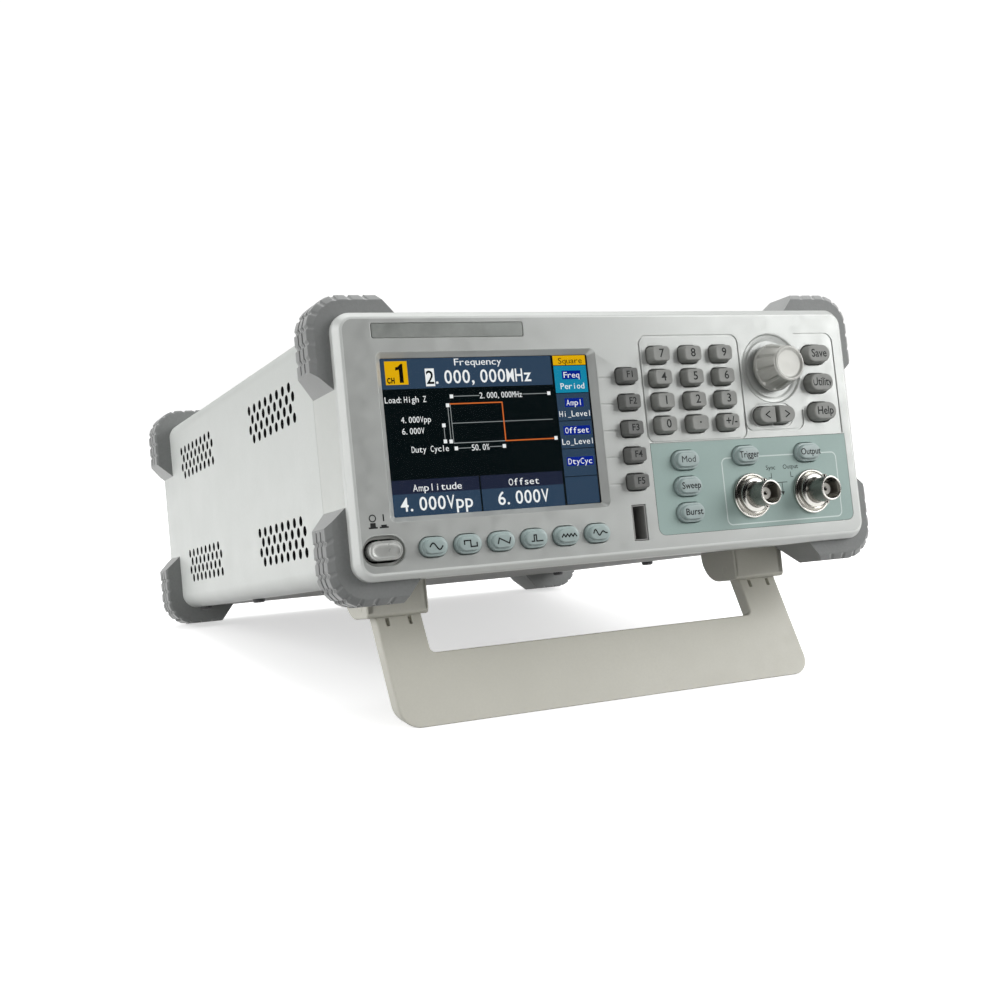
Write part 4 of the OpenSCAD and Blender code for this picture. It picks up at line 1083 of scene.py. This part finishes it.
COVER_END = CASE_D - 1.5
LIP = 5.0                                   # the cover's inward fold under the case
ARC = math.pi / 2 * CASE_R
SIDE = CASE_H - 2 * CASE_R
TOP = CASE_W - 2 * CASE_R
STRETCHES = [
    ("line", (LIP - (CASE_W / 2 - CASE_R), -CASE_H / 2), (-1, 0), LIP),
    ("arc", (CASE_R - CASE_W / 2, CASE_R - CASE_H / 2), -90, ARC),
    ("line", (-CASE_W / 2, CASE_R - CASE_H / 2), (0, 1), SIDE),
    ("arc", (CASE_R - CASE_W / 2, CASE_H / 2 - CASE_R), 180, ARC),
    ("line", (CASE_R - CASE_W / 2, CASE_H / 2), (1, 0), TOP),
    ("arc", (CASE_W / 2 - CASE_R, CASE_H / 2 - CASE_R), 90, ARC),
    ("line", (CASE_W / 2, CASE_H / 2 - CASE_R), (0, -1), SIDE),
    ("arc", (CASE_W / 2 - CASE_R, CASE_R - CASE_H / 2), 0, ARC),
    ("line", (CASE_W / 2 - CASE_R, -CASE_H / 2), (-1, 0), LIP),
]
GIRTH = sum(s[3] for s in STRETCHES)


def bent(u, y, deep):
    """A point of the flat sheet, bent round the case: u along its girth, y along the case."""
    for kind, start, way, length in STRETCHES:
        if u <= length + 1e-6 or length == LIP and start[0] > 0:
            break
        u -= length
    if kind == "line":
        return Vector((start[0] + way[0] * u + way[1] * deep, y, start[1] + way[1] * u - way[0] * deep))
    a = math.radians(way) - u / CASE_R
    return Vector((start[0] + (CASE_R - deep) * math.cos(a), y, start[1] + (CASE_R - deep) * math.sin(a)))


def vent_holes():
    """Centres of the vents on the flat sheet: four groups of staggered rows on each side."""
    pitch, rows, columns = 8.07, 4, 8
    for y0 in (52.6, 179.3):
        for z0 in (18.1, -32.8):
            for row in range(rows):
                for column in range(columns):
                    y = y0 + (column + row % 2 / 2) * pitch
                    along = z0 + row * pitch / 2 + SIDE / 2
                    yield LIP + ARC + along, y
                    yield GIRTH - LIP - ARC - along, y


def case_cover():
    bm = bmesh.new()
    cuts = [hole(bm, round_of(VENT_R, (u, y), 20), SHEET_T, 0.18, bent, steps=2) for u, y in vent_holes()]
    # the vent walls take the black film: painted shade inside the holes
    tint(bm, 0, 1)
    folds = []
    start = 0
    for kind, _, _, length in STRETCHES:
        for k in range(13 if kind == "arc" else 0):
            u = start + length * k / 12
            folds.append(((u, FRAME_END), (u, COVER_END)))
        start += length
    border = [(0, FRAME_END), (GIRTH, FRAME_END), (GIRTH, COVER_END), (0, COVER_END)]
    flat(bm, border, cuts, bent, 0.0, folds)
    inner_cuts = [circle(VENT_R, spot, 20) for spot in vent_holes()]
    made = len(bm.faces)
    flat(bm, border, inner_cuts, bent, SHEET_T, folds)
    tint(bm, made, 1)
    around = sorted({f[0][0] for f in folds} | {0, GIRTH})
    for y in (FRAME_END, COVER_END):
        skin(bm, [[bent(u, y, 0) for u in around], [bent(u, y, SHEET_T) for u in around]], closed=False)
    for u in (0, GIRTH):
        skin(bm, [[bent(u, y, 0) for y in (FRAME_END, COVER_END)],
                  [bent(u, y, SHEET_T) for y in (FRAME_END, COVER_END)]], closed=False)
    finish_piece("cover", bm, ["case", "film"], replaces=["case_cover"])


REAR_SCREWS = [(x * (CASE_W / 2 - 15), z * (CASE_H / 2 - 9)) for x in (-1, 1) for z in (-1, 1)]
REAR_JACKS = [(x, 14.0) for x in (-88, -62, -36)]
UNDER_SCREW_X, UNDER_SCREW_Y = CASE_W / 2 - 12 + 2.6, (60, 157, 254)
INLET_AT = (66.0, -14.0)


def rear_panel():
    bm = bmesh.new()
    rim = [(0.9, 1.5), (0, 1.5), (0, 0.3), (0.09, 0.09), (0.3, 0)]
    skin(bm, [lifted(case_outline(inset), back, deep) for inset, deep in rim])
    cuts = [hole(bm, shape_of(3, 22, 1.5, (30 + i * 6, 26), 6), 1.5, 0.2, back) for i in range(10)]
    cuts += [circle(6.2, p) for p in REAR_JACKS] + [circle(1.8, p, 20) for p in REAR_SCREWS]
    low, high = cad("usb_ports")
    cuts.append(hole(bm, shape_of(12.8, 11.8, 0.4, (low.x + 6.0, high.z - 5.5), 3), 1.5, 0.15, back))
    cuts.append(rounded(47, 26, 0.5, INLET_AT, 3))
    flat(bm, case_outline(0.3), cuts, back)
    finish_piece("back_panel", bm, ["rear"], replaces=["rear_panel"])
    bm = bmesh.new()

    def mirrored(x, z, deep):
        return back(-x, z, deep)

    legends = [(words, (-x, z + 12.5), 3.6)
               for (x, z), words in zip(REAR_JACKS, ("Trig In", "Mod In", "Ref In"))]
    for words, at, size in legends + [("USB", (12, -20.5), 3.4), ("AC In", (-66, 5.2), 3.6)]:
        lettering(bm, words, at, size, PRINT, mirrored)
    flat(bm, rounded(84, 0.35, 0.1, (62, 2.0)), plane=mirrored, deep=PRINT)
    finish_piece("back_legends", bm, ["ink"], facing=(0, 1, 0))


def cross(w, r):
    """A cross-shaped outline for a screw's recess."""
    return [(r, -w), (r, w), (w, w), (w, r), (-w, r), (-w, w), (-r, w), (-r, -w), (-w, -w), (-w, -r),
            (w, -r), (w, -w)]


def screw(bm, at, plane, head_r=2.8, head_t=1.7):
    """A pan head with a cross recess: plane depths are negative outwards."""
    dome = [(head_r, 0.02), (head_r, -0.5 * head_t), (head_r - 0.25, -0.8 * head_t),
            (head_r - 0.75, -0.97 * head_t), (1.6, -head_t)]
    skin(bm, [lifted(circle(r, at, 28), plane, deep) for r, deep in dome])
    slot_loop = [(at[0] + x, at[1] + z) for x, z in cross(0.3, 1.25)]
    skin(bm, [lifted(slot_loop, plane, -head_t), lifted(slot_loop, plane, -head_t + 0.9)])
    flat(bm, slot_loop, plane=plane, deep=-head_t + 0.9)
    flat(bm, circle(1.6, at, 28), [slot_loop], plane, -head_t)


def screws():
    bm = bmesh.new()
    for at in REAR_SCREWS:
        screw(bm, at, back)

    def under(x, y, deep):
        return Vector((x, y, deep - CASE_H / 2))

    made = len(bm.faces)
    for side in (-1, 1):
        for y in UNDER_SCREW_Y:
            screw(bm, (side * UNDER_SCREW_X, y), under)
    # the screws under the case are black oxide, and their black also stands in as painted shade there
    tint(bm, made, 1)
    finish_piece("screws", bm, ["steel", "black"], replaces=["case_screws"])


def mains_inlet():
    bm = bmesh.new()
    out = 2.5
    at = INLET_AT
    socket_at, rocker_at = (at[0] - 8.5, at[1]), (at[0] + 15.5, at[1])
    shape = shape_of(52, 30, 3, at)
    flange = ((0, 0), (0, 0.5 - out), (0.15, 0.15 - out), (0.5, -out))
    skin(bm, [lifted(shape(-inset), back, deep) for inset, deep in flange])
    cuts = [hole(bm, shape_of(24.5, 17.5, 2, socket_at), 19, 0.3, back, -out, floor=True),
            hole(bm, shape_of(14.6, 23, 1, rocker_at, 4), 1.6, 0.3, back, -out, floor=True)]
    flat(bm, shape(-0.5), cuts, back, -out)
    stack(bm, shape_of(46, 25, 0.5, at, 3), [(0, 0), (0, 19.5)], back)
    made = len(bm.faces)
    for x, z in ((-7, -2), (0, 2), (7, -2)):
        pin_at = (socket_at[0] + x, socket_at[1] + z)
        stack(bm, shape_of(2, 4, 0.4, pin_at, 3), [(0, 16.5), (0, 4.2), (0.5, 3.5)], back)
    tint(bm, made, 1)
    # rocker: high at one end
    rocker = shape_of(14, 22.4, 0.8, rocker_at, 4)
    rings = []
    for inset, rise in ((0, 0.0), (0, 1.0), (0.25, 1.35), (0.8, 1.5), (2.5, 1.35)):
        ring = []
        for x, z in rocker(-inset):
            tip = (z - at[1]) / 11.2
            raised = rise * (0.55 + 0.45 * abs(tip)) + (0.7 * tip if rise > 0.5 else 0)
            ring.append(back(x, z, -out + 1.5 - raised))
        rings.append(ring)
    skin(bm, rings)
    lid(bm, rings[-1])
    made = len(bm.faces)
    flat(bm, rounded(0.7, 3.6, 0.2, (rocker_at[0], at[1] + 5.8)), plane=back, deep=-out - 0.62)
    flat(bm, circle(1.9, (rocker_at[0], at[1] - 5.8), 24), [circle(1.35, (rocker_at[0], at[1] - 5.8), 24)],
         back, -out - 0.05)
    tint(bm, made, 2)
    finish_piece("inlet", bm, ["black", "nickel", "overlay_line"],
                 replaces=["mains_inlet"])


# ---- Bumpers -------------------------------------------------------------------------------

BUMPER_T, BUMPER_RISE, BUMPER_R = 7.5, 8.0, 13.0
TOP_RISE = 7.4                              # of the upper corners, as the photo has them
LEG_SIDE, LEG_TOP = 26.5, 25.5
END_RUN = 6.5                               # length of the slope at each leg's end
NOTCH_PITCH, NOTCH_DEEP, NOTCH_HALF = 5.5, 0.7, 0.9
GROOVE_DEEP, GROOVE_HALF = 1.1, 0.7


def bumper_stations(rise, step=0.28):
    """Pairs of points on the case and on the rubber's outside, along the upper right corner."""
    hx, hz = CASE_W / 2, CASE_H / 2
    ox, oz = hx + BUMPER_T, hz + rise
    pairs = []
    low_in, low_out = hz - LEG_SIDE, hz - LEG_SIDE + END_RUN
    count = round((oz - BUMPER_R - low_out) / step)
    for k in range(count):
        t = k / count
        pairs.append(((hx, low_in + t * (hz - CASE_R - low_in)),
                      (ox, low_out + t * (oz - BUMPER_R - low_out))))
    count = round(math.pi / 2 * BUMPER_R / step)
    for k in range(count):
        a = math.pi / 2 * k / count
        pairs.append(((hx - CASE_R + CASE_R * math.cos(a), hz - CASE_R + CASE_R * math.sin(a)),
                      (ox - BUMPER_R + BUMPER_R * math.cos(a), oz - BUMPER_R + BUMPER_R * math.sin(a))))
    end_in, end_out = hx - LEG_TOP, hx - LEG_TOP + END_RUN
    count = round((ox - BUMPER_R - end_out) / step)
    for k in range(count + 1):
        t = k / count
        pairs.append(((hx - CASE_R - t * (hx - CASE_R - end_in), hz),
                      (ox - BUMPER_R - t * (ox - BUMPER_R - end_out), oz)))
    return [(Vector(a), Vector(b)) for a, b in pairs]


def bumper_band(first, last, ribs=3):
    """Places along Y over the ribbed band, closer together at its grooves."""
    rib = (last - first) / ribs
    places = []
    for i in range(ribs):
        places += [first + rib * (i + t) for t in (0.04, 0.12, 0.25, 0.38, 0.5, 0.62, 0.75, 0.88, 0.96)]
        if i < ribs - 1:
            places += [first + rib * (i + 1) + GROOVE_HALF * d / 4 for d in range(-4, 5)]
    return sorted(places)


def bumper(bm, side, up, lead, band, tail):
    """lead and tail are insets and places along Y in front of and behind the ribbed band."""
    stations = bumper_stations(BUMPER_RISE if up < 0 else TOP_RISE)
    lengths = [0.0]
    for (_, p), (_, q) in zip(stations, stations[1:]):
        lengths.append(lengths[-1] + (q - p).length)
    total = lengths[-1]
    first, last = band
    rib = (last - first) / 3
    notches = [total / 2 + (k - 3.5) * NOTCH_PITCH for k in range(8)]

    def notched(s, y):
        """How deep the notches are: each one is a V across the ribbed band."""
        across = min(max((y - first) / rib, 0.0), 2.999)
        shift = 0.5 * abs(2 * (across % 1) - 1) - 0.25
        off = min(abs(s - n - shift * (1 if n < total / 2 else -1)) for n in notches)
        return NOTCH_DEEP * max(0.0, 1 - (off / NOTCH_HALF) ** 2)

    def sunk(s, y):
        """How far the ribbed band lies below the rubber's outside."""
        across = (y - first) / rib
        from_groove = min(abs(across - 1), abs(across - 2)) * rib
        fade = min(1.0, max(0.0, (min(s, total - s) - 0.6) / 1.2))
        return max(GROOVE_DEEP * max(0.0, 1 - (from_groove / GROOVE_HALF) ** 2) * fade, notched(s, y))

    rings = []
    for s, (inner, outer) in zip(lengths, stations):
        across = outer - inner
        thick = across.length
        across.normalize()
        scale = thick / BUMPER_T
        ring = [(inner + across * (thick - sunk(s, y)), y) for y in bumper_band(first, last)]
        for places in (lead, tail):
            slope = []
            for inset, y in places:
                cut = notched(s, y) * max(0.0, 1 - inset / 3.2)
                slope.append((inner + across * max(0.0, thick - inset * scale - cut), y))
            ring = slope + ring if places is lead else ring + slope
        rings.append([Vector((side * p.x, y, up * p.y)) for p, y in ring])
    skin(bm, rings)
    lid(bm, rings[0])
    lid(bm, rings[-1])


def bumpers():
    full = BUMPER_T
    y0 = BEZEL_D
    front_lead = [(full, y0), (full * 0.66, y0), (2.5, y0), (2.25, y0 + 0.04), (2.05, y0 + 0.16),
                  (0.35, y0 + 1.75), (0.12, y0 + 2.0), (0.0, y0 + 2.3)]
    front_tail = [(0.0, 21.3), (0.1, 21.6), (0.35, 21.9), (full, FRAME_END - 0.45)]
    y1 = CASE_D - 20.5
    rear_lead = [(full, y1), (1.2, y1), (0.9, y1 + 0.04), (0.2, y1 + 0.5), (0.04, y1 + 0.8),
                 (0.0, y1 + 1.1)]
    y2 = CASE_D - 5.5
    rear_tail = [(0.0, y2 - 0.3), (0.1, y2), (0.3, y2 + 0.35), (5.1, CASE_D - 0.35), (5.35, CASE_D - 0.1),
                 (5.7, CASE_D), (full, CASE_D)]
    for name, node_name, lead, band, tail in (
            ("front", "front_bumpers", front_lead, (y0 + 2.3, 21.3), front_tail),
            ("rear", "rear_bumpers", rear_lead, (y1 + 1.1, y2 - 0.3), rear_tail)):
        bm = bmesh.new()
        for side in (-1, 1):
            for up in (-1, 1):
                bumper(bm, side, up, lead, band, tail)
        finish_piece(f"{name}_corner_rubbers", bm, ["rubber"], replaces=[node_name],
                     crease=24)


# ---- Hinges and bail -----------------------------------------------------------------------

PIVOT = TO_PANEL @ Vector(bail_joint["pos_m"])
BAIL_T, BAIL_X, ARM_W = 6.0, 90.5, 18.5
BAR_TOP = 22.1
KNUCKLE_R = 4.2
BAIL_L = 50.87
LAND = math.tan(LEAN + TILT)
BLOCK_Y = (37.2, 62.0)
BLOCK_LOW = 12.6
BLOCK_X = (69.5, 94.2)


def hung(x, s, deep):
    """A point of the bail: s is below the pivot when negative, and deep is behind its front."""
    p = Matrix.Rotation(-LEAN, 3, "X") @ Vector((x, deep - BAIL_T / 2, s))
    return p + Vector((0, PIVOT.y, PIVOT.z))


def bail_loop(inset, low):
    """The U of the bail: its bar and two arms."""
    wide, corner, inner = BAIL_X - inset, 8.0 - inset, 2.0 + inset
    gap, shelf = BAIL_X - ARM_W + inset, -BAR_TOP - inset
    low += inset
    loop = [(-wide, 0.0)] + bend((corner - wide, low + corner), corner, 180, 270, 10)
    loop += bend((wide - corner, low + corner), corner, 270, 360, 10) + [(wide, 0.0), (gap, 0.0)]
    loop += bend((gap - inner, shelf + inner), inner, 0, -90)
    loop += bend((inner - gap, shelf + inner), inner, -90, -180) + [(-gap, 0.0)]
    return loop


def bail():
    bm = bmesh.new()
    round_r = 0.9
    rings = []
    for k in range(5):
        a = math.pi / 2 * k / 4
        rings.append((round_r * (1 - math.sin(a)), round_r * (1 - math.cos(a))))
    rings += [(inset * 0.6, BAIL_T - deep * 0.6) for inset, deep in reversed(rings)]
    skin(bm, [lifted(bail_loop(inset, -BAIL_L + deep * LAND), hung, deep) for inset, deep in rings])
    slots = [hole(bm, shape_of(1.5, 3.4, 0.3, (side * x, -8.3), 3), 2.5, 0.15, hung, floor=True, steps=2)
             for side in (-1, 1) for x in (77, 86)]
    flat(bm, bail_loop(round_r, -BAIL_L), slots, hung, 0.0)
    pocket_w, pocket_h = 31.0, 16.0
    pockets = []
    for i in range(4):
        shape = shape_of(pocket_w, pocket_h, 1.5, ((i - 1.5) * (pocket_w + 3), -34.0), 4)
        rings = [lifted(shape(grow), hung, BAIL_T - deep)
                 for grow, deep in ((0.3, 0), (0, 0.3), (-0.15, 3.2))]
        skin(bm, rings)
        flat(bm, shape(-0.15), plane=hung, deep=BAIL_T - 3.2)
        pockets.append(shape(0.3))
    flat(bm, bail_loop(round_r * 0.6, -BAIL_L + BAIL_T * LAND), pockets, hung, BAIL_T)
    for side in (-1, 1):
        start = hung(side * (BAIL_X - ARM_W), 0, BAIL_T / 2)
        lathe(bm, start, (side, 0, 0), [
            (1.6, 0), (KNUCKLE_R - 0.5, 0), (KNUCKLE_R - 0.1, 0.15), (KNUCKLE_R, 0.5),
            (KNUCKLE_R, ARM_W - 0.5), (KNUCKLE_R - 0.1, ARM_W - 0.15), (KNUCKLE_R - 0.5, ARM_W),
            (1.6, ARM_W), (1.6, 0)], 40)
    finish_piece("bail", bm, ["stand"], "bail_stand", ["bail_stand"])


def block_loop(inset, cavity=0.0):
    """Side view of a hinge block as (Y, Z): square in front, a quarter round behind."""
    base = -CASE_H / 2
    y0, y1, low = BLOCK_Y[0] + inset + cavity, BLOCK_Y[1] - inset, base - BLOCK_LOW + inset
    r = min(BLOCK_LOW - 1.0, (y1 - y0) / 2)
    return ([(y1, base), (y0, base)] + bend((y0 + 1.8, low + 1.8), 1.8, 180, 270)
            + bend((y1 - r, low + r), r, 270, 360, 12))


def hinge_blocks():
    bm = bmesh.new()
    wall, edge = 1.55, 0.7

    def sideways(y, z, x):
        return Vector((x, y, z))

    def cheek(x0, x1, side):
        profile = [(edge * (1 - math.sin(t)), x0 + edge * (1 - math.cos(t))) for t in
                   (0, math.pi / 8, math.pi / 4, math.pi * 3 / 8, math.pi / 2)]
        profile += [(inset, x0 + x1 - x) for inset, x in reversed(profile)]
        rings = [[sideways(y, z, side * x) for y, z in block_loop(inset)] for inset, x in profile]
        skin(bm, rings)
        lid(bm, rings[0])
        lid(bm, rings[-1])

    for side in (-1, 1):
        gap = 0.4
        arm = (BAIL_X - ARM_W - gap, BAIL_X + gap)
        cheek(BLOCK_X[0], arm[0], side)
        cheek(arm[1], BLOCK_X[1], side)
        # front wall and roof between the cheeks
        base = -CASE_H / 2
        roof = PIVOT.z + KNUCKLE_R + gap
        wall_loop = ([(BLOCK_Y[1], base), (BLOCK_Y[0], base)]
                     + bend((BLOCK_Y[0] + 1.8, base - BLOCK_LOW + 1.8), 1.8, 180, 255)
                     + [(BLOCK_Y[0] + wall, base - BLOCK_LOW + 0.12), (BLOCK_Y[0] + wall, roof),
                        (BLOCK_Y[1], roof)])
        xs = (BLOCK_X[0] + edge, BLOCK_X[1] - edge)
        rings = [[sideways(y, z, side * x) for y, z in wall_loop] for x in xs]
        skin(bm, rings)
        # dimple round the end of each hinge pin
        for x, out in ((BLOCK_X[0], -1), (BLOCK_X[1], 1)):
            lathe(bm, (side * x, PIVOT.y, PIVOT.z), (side * out, 0, 0), [
                (2.3, 0.0), (2.3, 0.06), (2.1, 0.1), (1.75, 0.1), (1.6, 0.05), (1.6, -0.8),
                (0.01, -0.8)], 28)
    finish_piece("hinge_housings", bm, ["stand"], replaces=["hinge_blocks"])


# ---- CAD pieces that keep their shape ---------------------------------------------------------

# the chassis's dark grey zinc is painted shade under the case
KEPT = {
    "key_mat": "silicone", "front_board": "board", "rotary_encoder": "steel", "hinge_pins": "steel",
    "main_board": "board", "power_supply": "paper", "power_switch": "black", "base_chassis": "zinc",
}


def keep_cad():
    for name, m in KEPT.items():
        kept = frame["nodes"][name]
        kept.data.materials.clear()
        kept.data.materials.append(M[m])
        edges = kept.modifiers.new("edges", "BEVEL")
        edges.width = 0.00015
        edges.limit_method = "ANGLE"
        edges.angle_limit = math.radians(50)


# ---- Everything ------------------------------------------------------------------------------

front_bezel()
front_frame()
overlay()
name_strip()
for key in KEYS:
    key_cap(*key)
for arrow in ARROWS:
    arrow_cap(*arrow)
power_button()
knob()
display()
jacks("front_coax_jacks", [(x, JACK_Z) for x in JACK_X], front, (0, -1, 0), "front_jacks")
jacks("rear_coax_jacks", REAR_JACKS, back, (0, 1, 0), "rear_jacks")
usb_sockets()
case_cover()
rear_panel()
screws()
mains_inlet()
bumpers()
bail()
hinge_blocks()
keep_cad()

# ---- Studio ----------------------------------------------------------------------------------

CAMERA_AT = Vector((-270.2, -449.6, -54.0))     # in the panel frame
CAMERA_AIM = Vector((-53.6, 0.0, -21.9))
CAMERA_ROLL = 1.4
LENS = 50.4


def aimed(at, target, roll=0.0):
    """Looks from one point to another, its own up turned clockwise by roll degrees."""
    away = (at - target).normalized()
    right = Vector((0, 0, 1)).cross(away).normalized()
    up = away.cross(right)
    turn = Matrix((right, up, away)).transposed().to_4x4()
    return Matrix.Translation(at) @ turn @ Matrix.Rotation(math.radians(-roll), 4, "Z")


def camera():
    data = bpy.data.cameras.new("camera")
    data.lens = LENS
    data.sensor_width = 36.0
    data.clip_start = 0.02
    holder = bpy.data.objects.new("camera", data)
    holder.matrix_world = aimed(STAND @ CAMERA_AT, STAND @ CAMERA_AIM, CAMERA_ROLL)
    bpy.context.scene.collection.objects.link(holder)
    bpy.context.scene.camera = holder


def softbox(name, at, target, size, power):
    data = bpy.data.lights.new(name, "AREA")
    data.shape = "RECTANGLE"
    data.size, data.size_y = size
    data.energy = power
    holder = bpy.data.objects.new(name, data)
    holder.matrix_world = aimed(Vector(at), Vector(target))
    holder.visible_camera = False
    bpy.context.scene.collection.objects.link(holder)


def paper(name, glow):
    """The floor's white paper, lit a little from below as on a light table."""
    made = surface(name, (0.93, 0.93, 0.93), 0.8, grain=200.0, bump=0.02, mottle=0.004, blotch=2.0,
                   specular=0.1)
    tree = made.node_tree
    shader = tree.nodes["Principled BSDF"]
    tree.links.new(shader.inputs["Base Color"].links[0].from_socket, shader.inputs["Emission Color"])
    shader.inputs["Emission Strength"].default_value = glow
    return made


def backdrop():
    """White behind the object and along the horizon, dimmer in front of it, overhead and below."""
    world = bpy.data.worlds.new("studio")
    bpy.context.scene.world = world
    world.use_nodes = True
    tree = world.node_tree
    background = tree.nodes["Background"]
    background.inputs["Color"].default_value = (1.0, 1.0, 0.995, 1)
    way = node(tree, "ShaderNodeTexCoord").outputs["Generated"]
    split = node(tree, "ShaderNodeSeparateXYZ", Vector=way)
    ahead, horizon, overhead, below = [
        mapped(tree, split.outputs[axis], *span, smooth=True) for axis, span in (
            ("Y", (-0.5, 0.5, 0.45, 1.05)), ("Z", (0.2, 0.3, 1.0, 0.0)),
            ("Z", (0.5, 0.95, 1.0, 0.45)), ("Z", (-0.15, -0.01, 0.12, 1.0)))]
    strength = joined(tree, "ShaderNodeMath", "MAXIMUM", ahead, horizon)
    for dimmer in (overhead, below):
        strength = joined(tree, "ShaderNodeMath", "MULTIPLY", strength, dimmer)
    tree.links.new(strength, background.inputs["Strength"])
    world.cycles_visibility.glossy = False


def studio():
    mesh = bpy.data.meshes.new("floor")
    bm = bmesh.new()
    reach = 60.0
    lid(bm, [Vector((x * reach, y * reach, 0)) for x, y in ((-1, -1), (1, -1), (1, 1), (-1, 1))])
    bm.to_mesh(mesh)
    bm.free()
    floor = bpy.data.objects.new("floor", mesh)
    bpy.context.scene.collection.objects.link(floor)
    mesh.materials.append(paper("floor_paper", 0.6))
    floor.visible_diffuse = False
    backdrop()
    centre = (0, 0, 0.08)
    softbox("left_light", (-1.55, 0.0, 0.6), centre, (1.1, 1.1), 10)
    softbox("top_light", (0.1, 0.35, 1.5), centre, (1.4, 1.4), 10)
    softbox("right_light", (1.15, -0.93, 0.74), centre, (0.95, 0.95), 15)
    bpy.context.scene.view_settings.view_transform = "Standard"


camera()
studio()
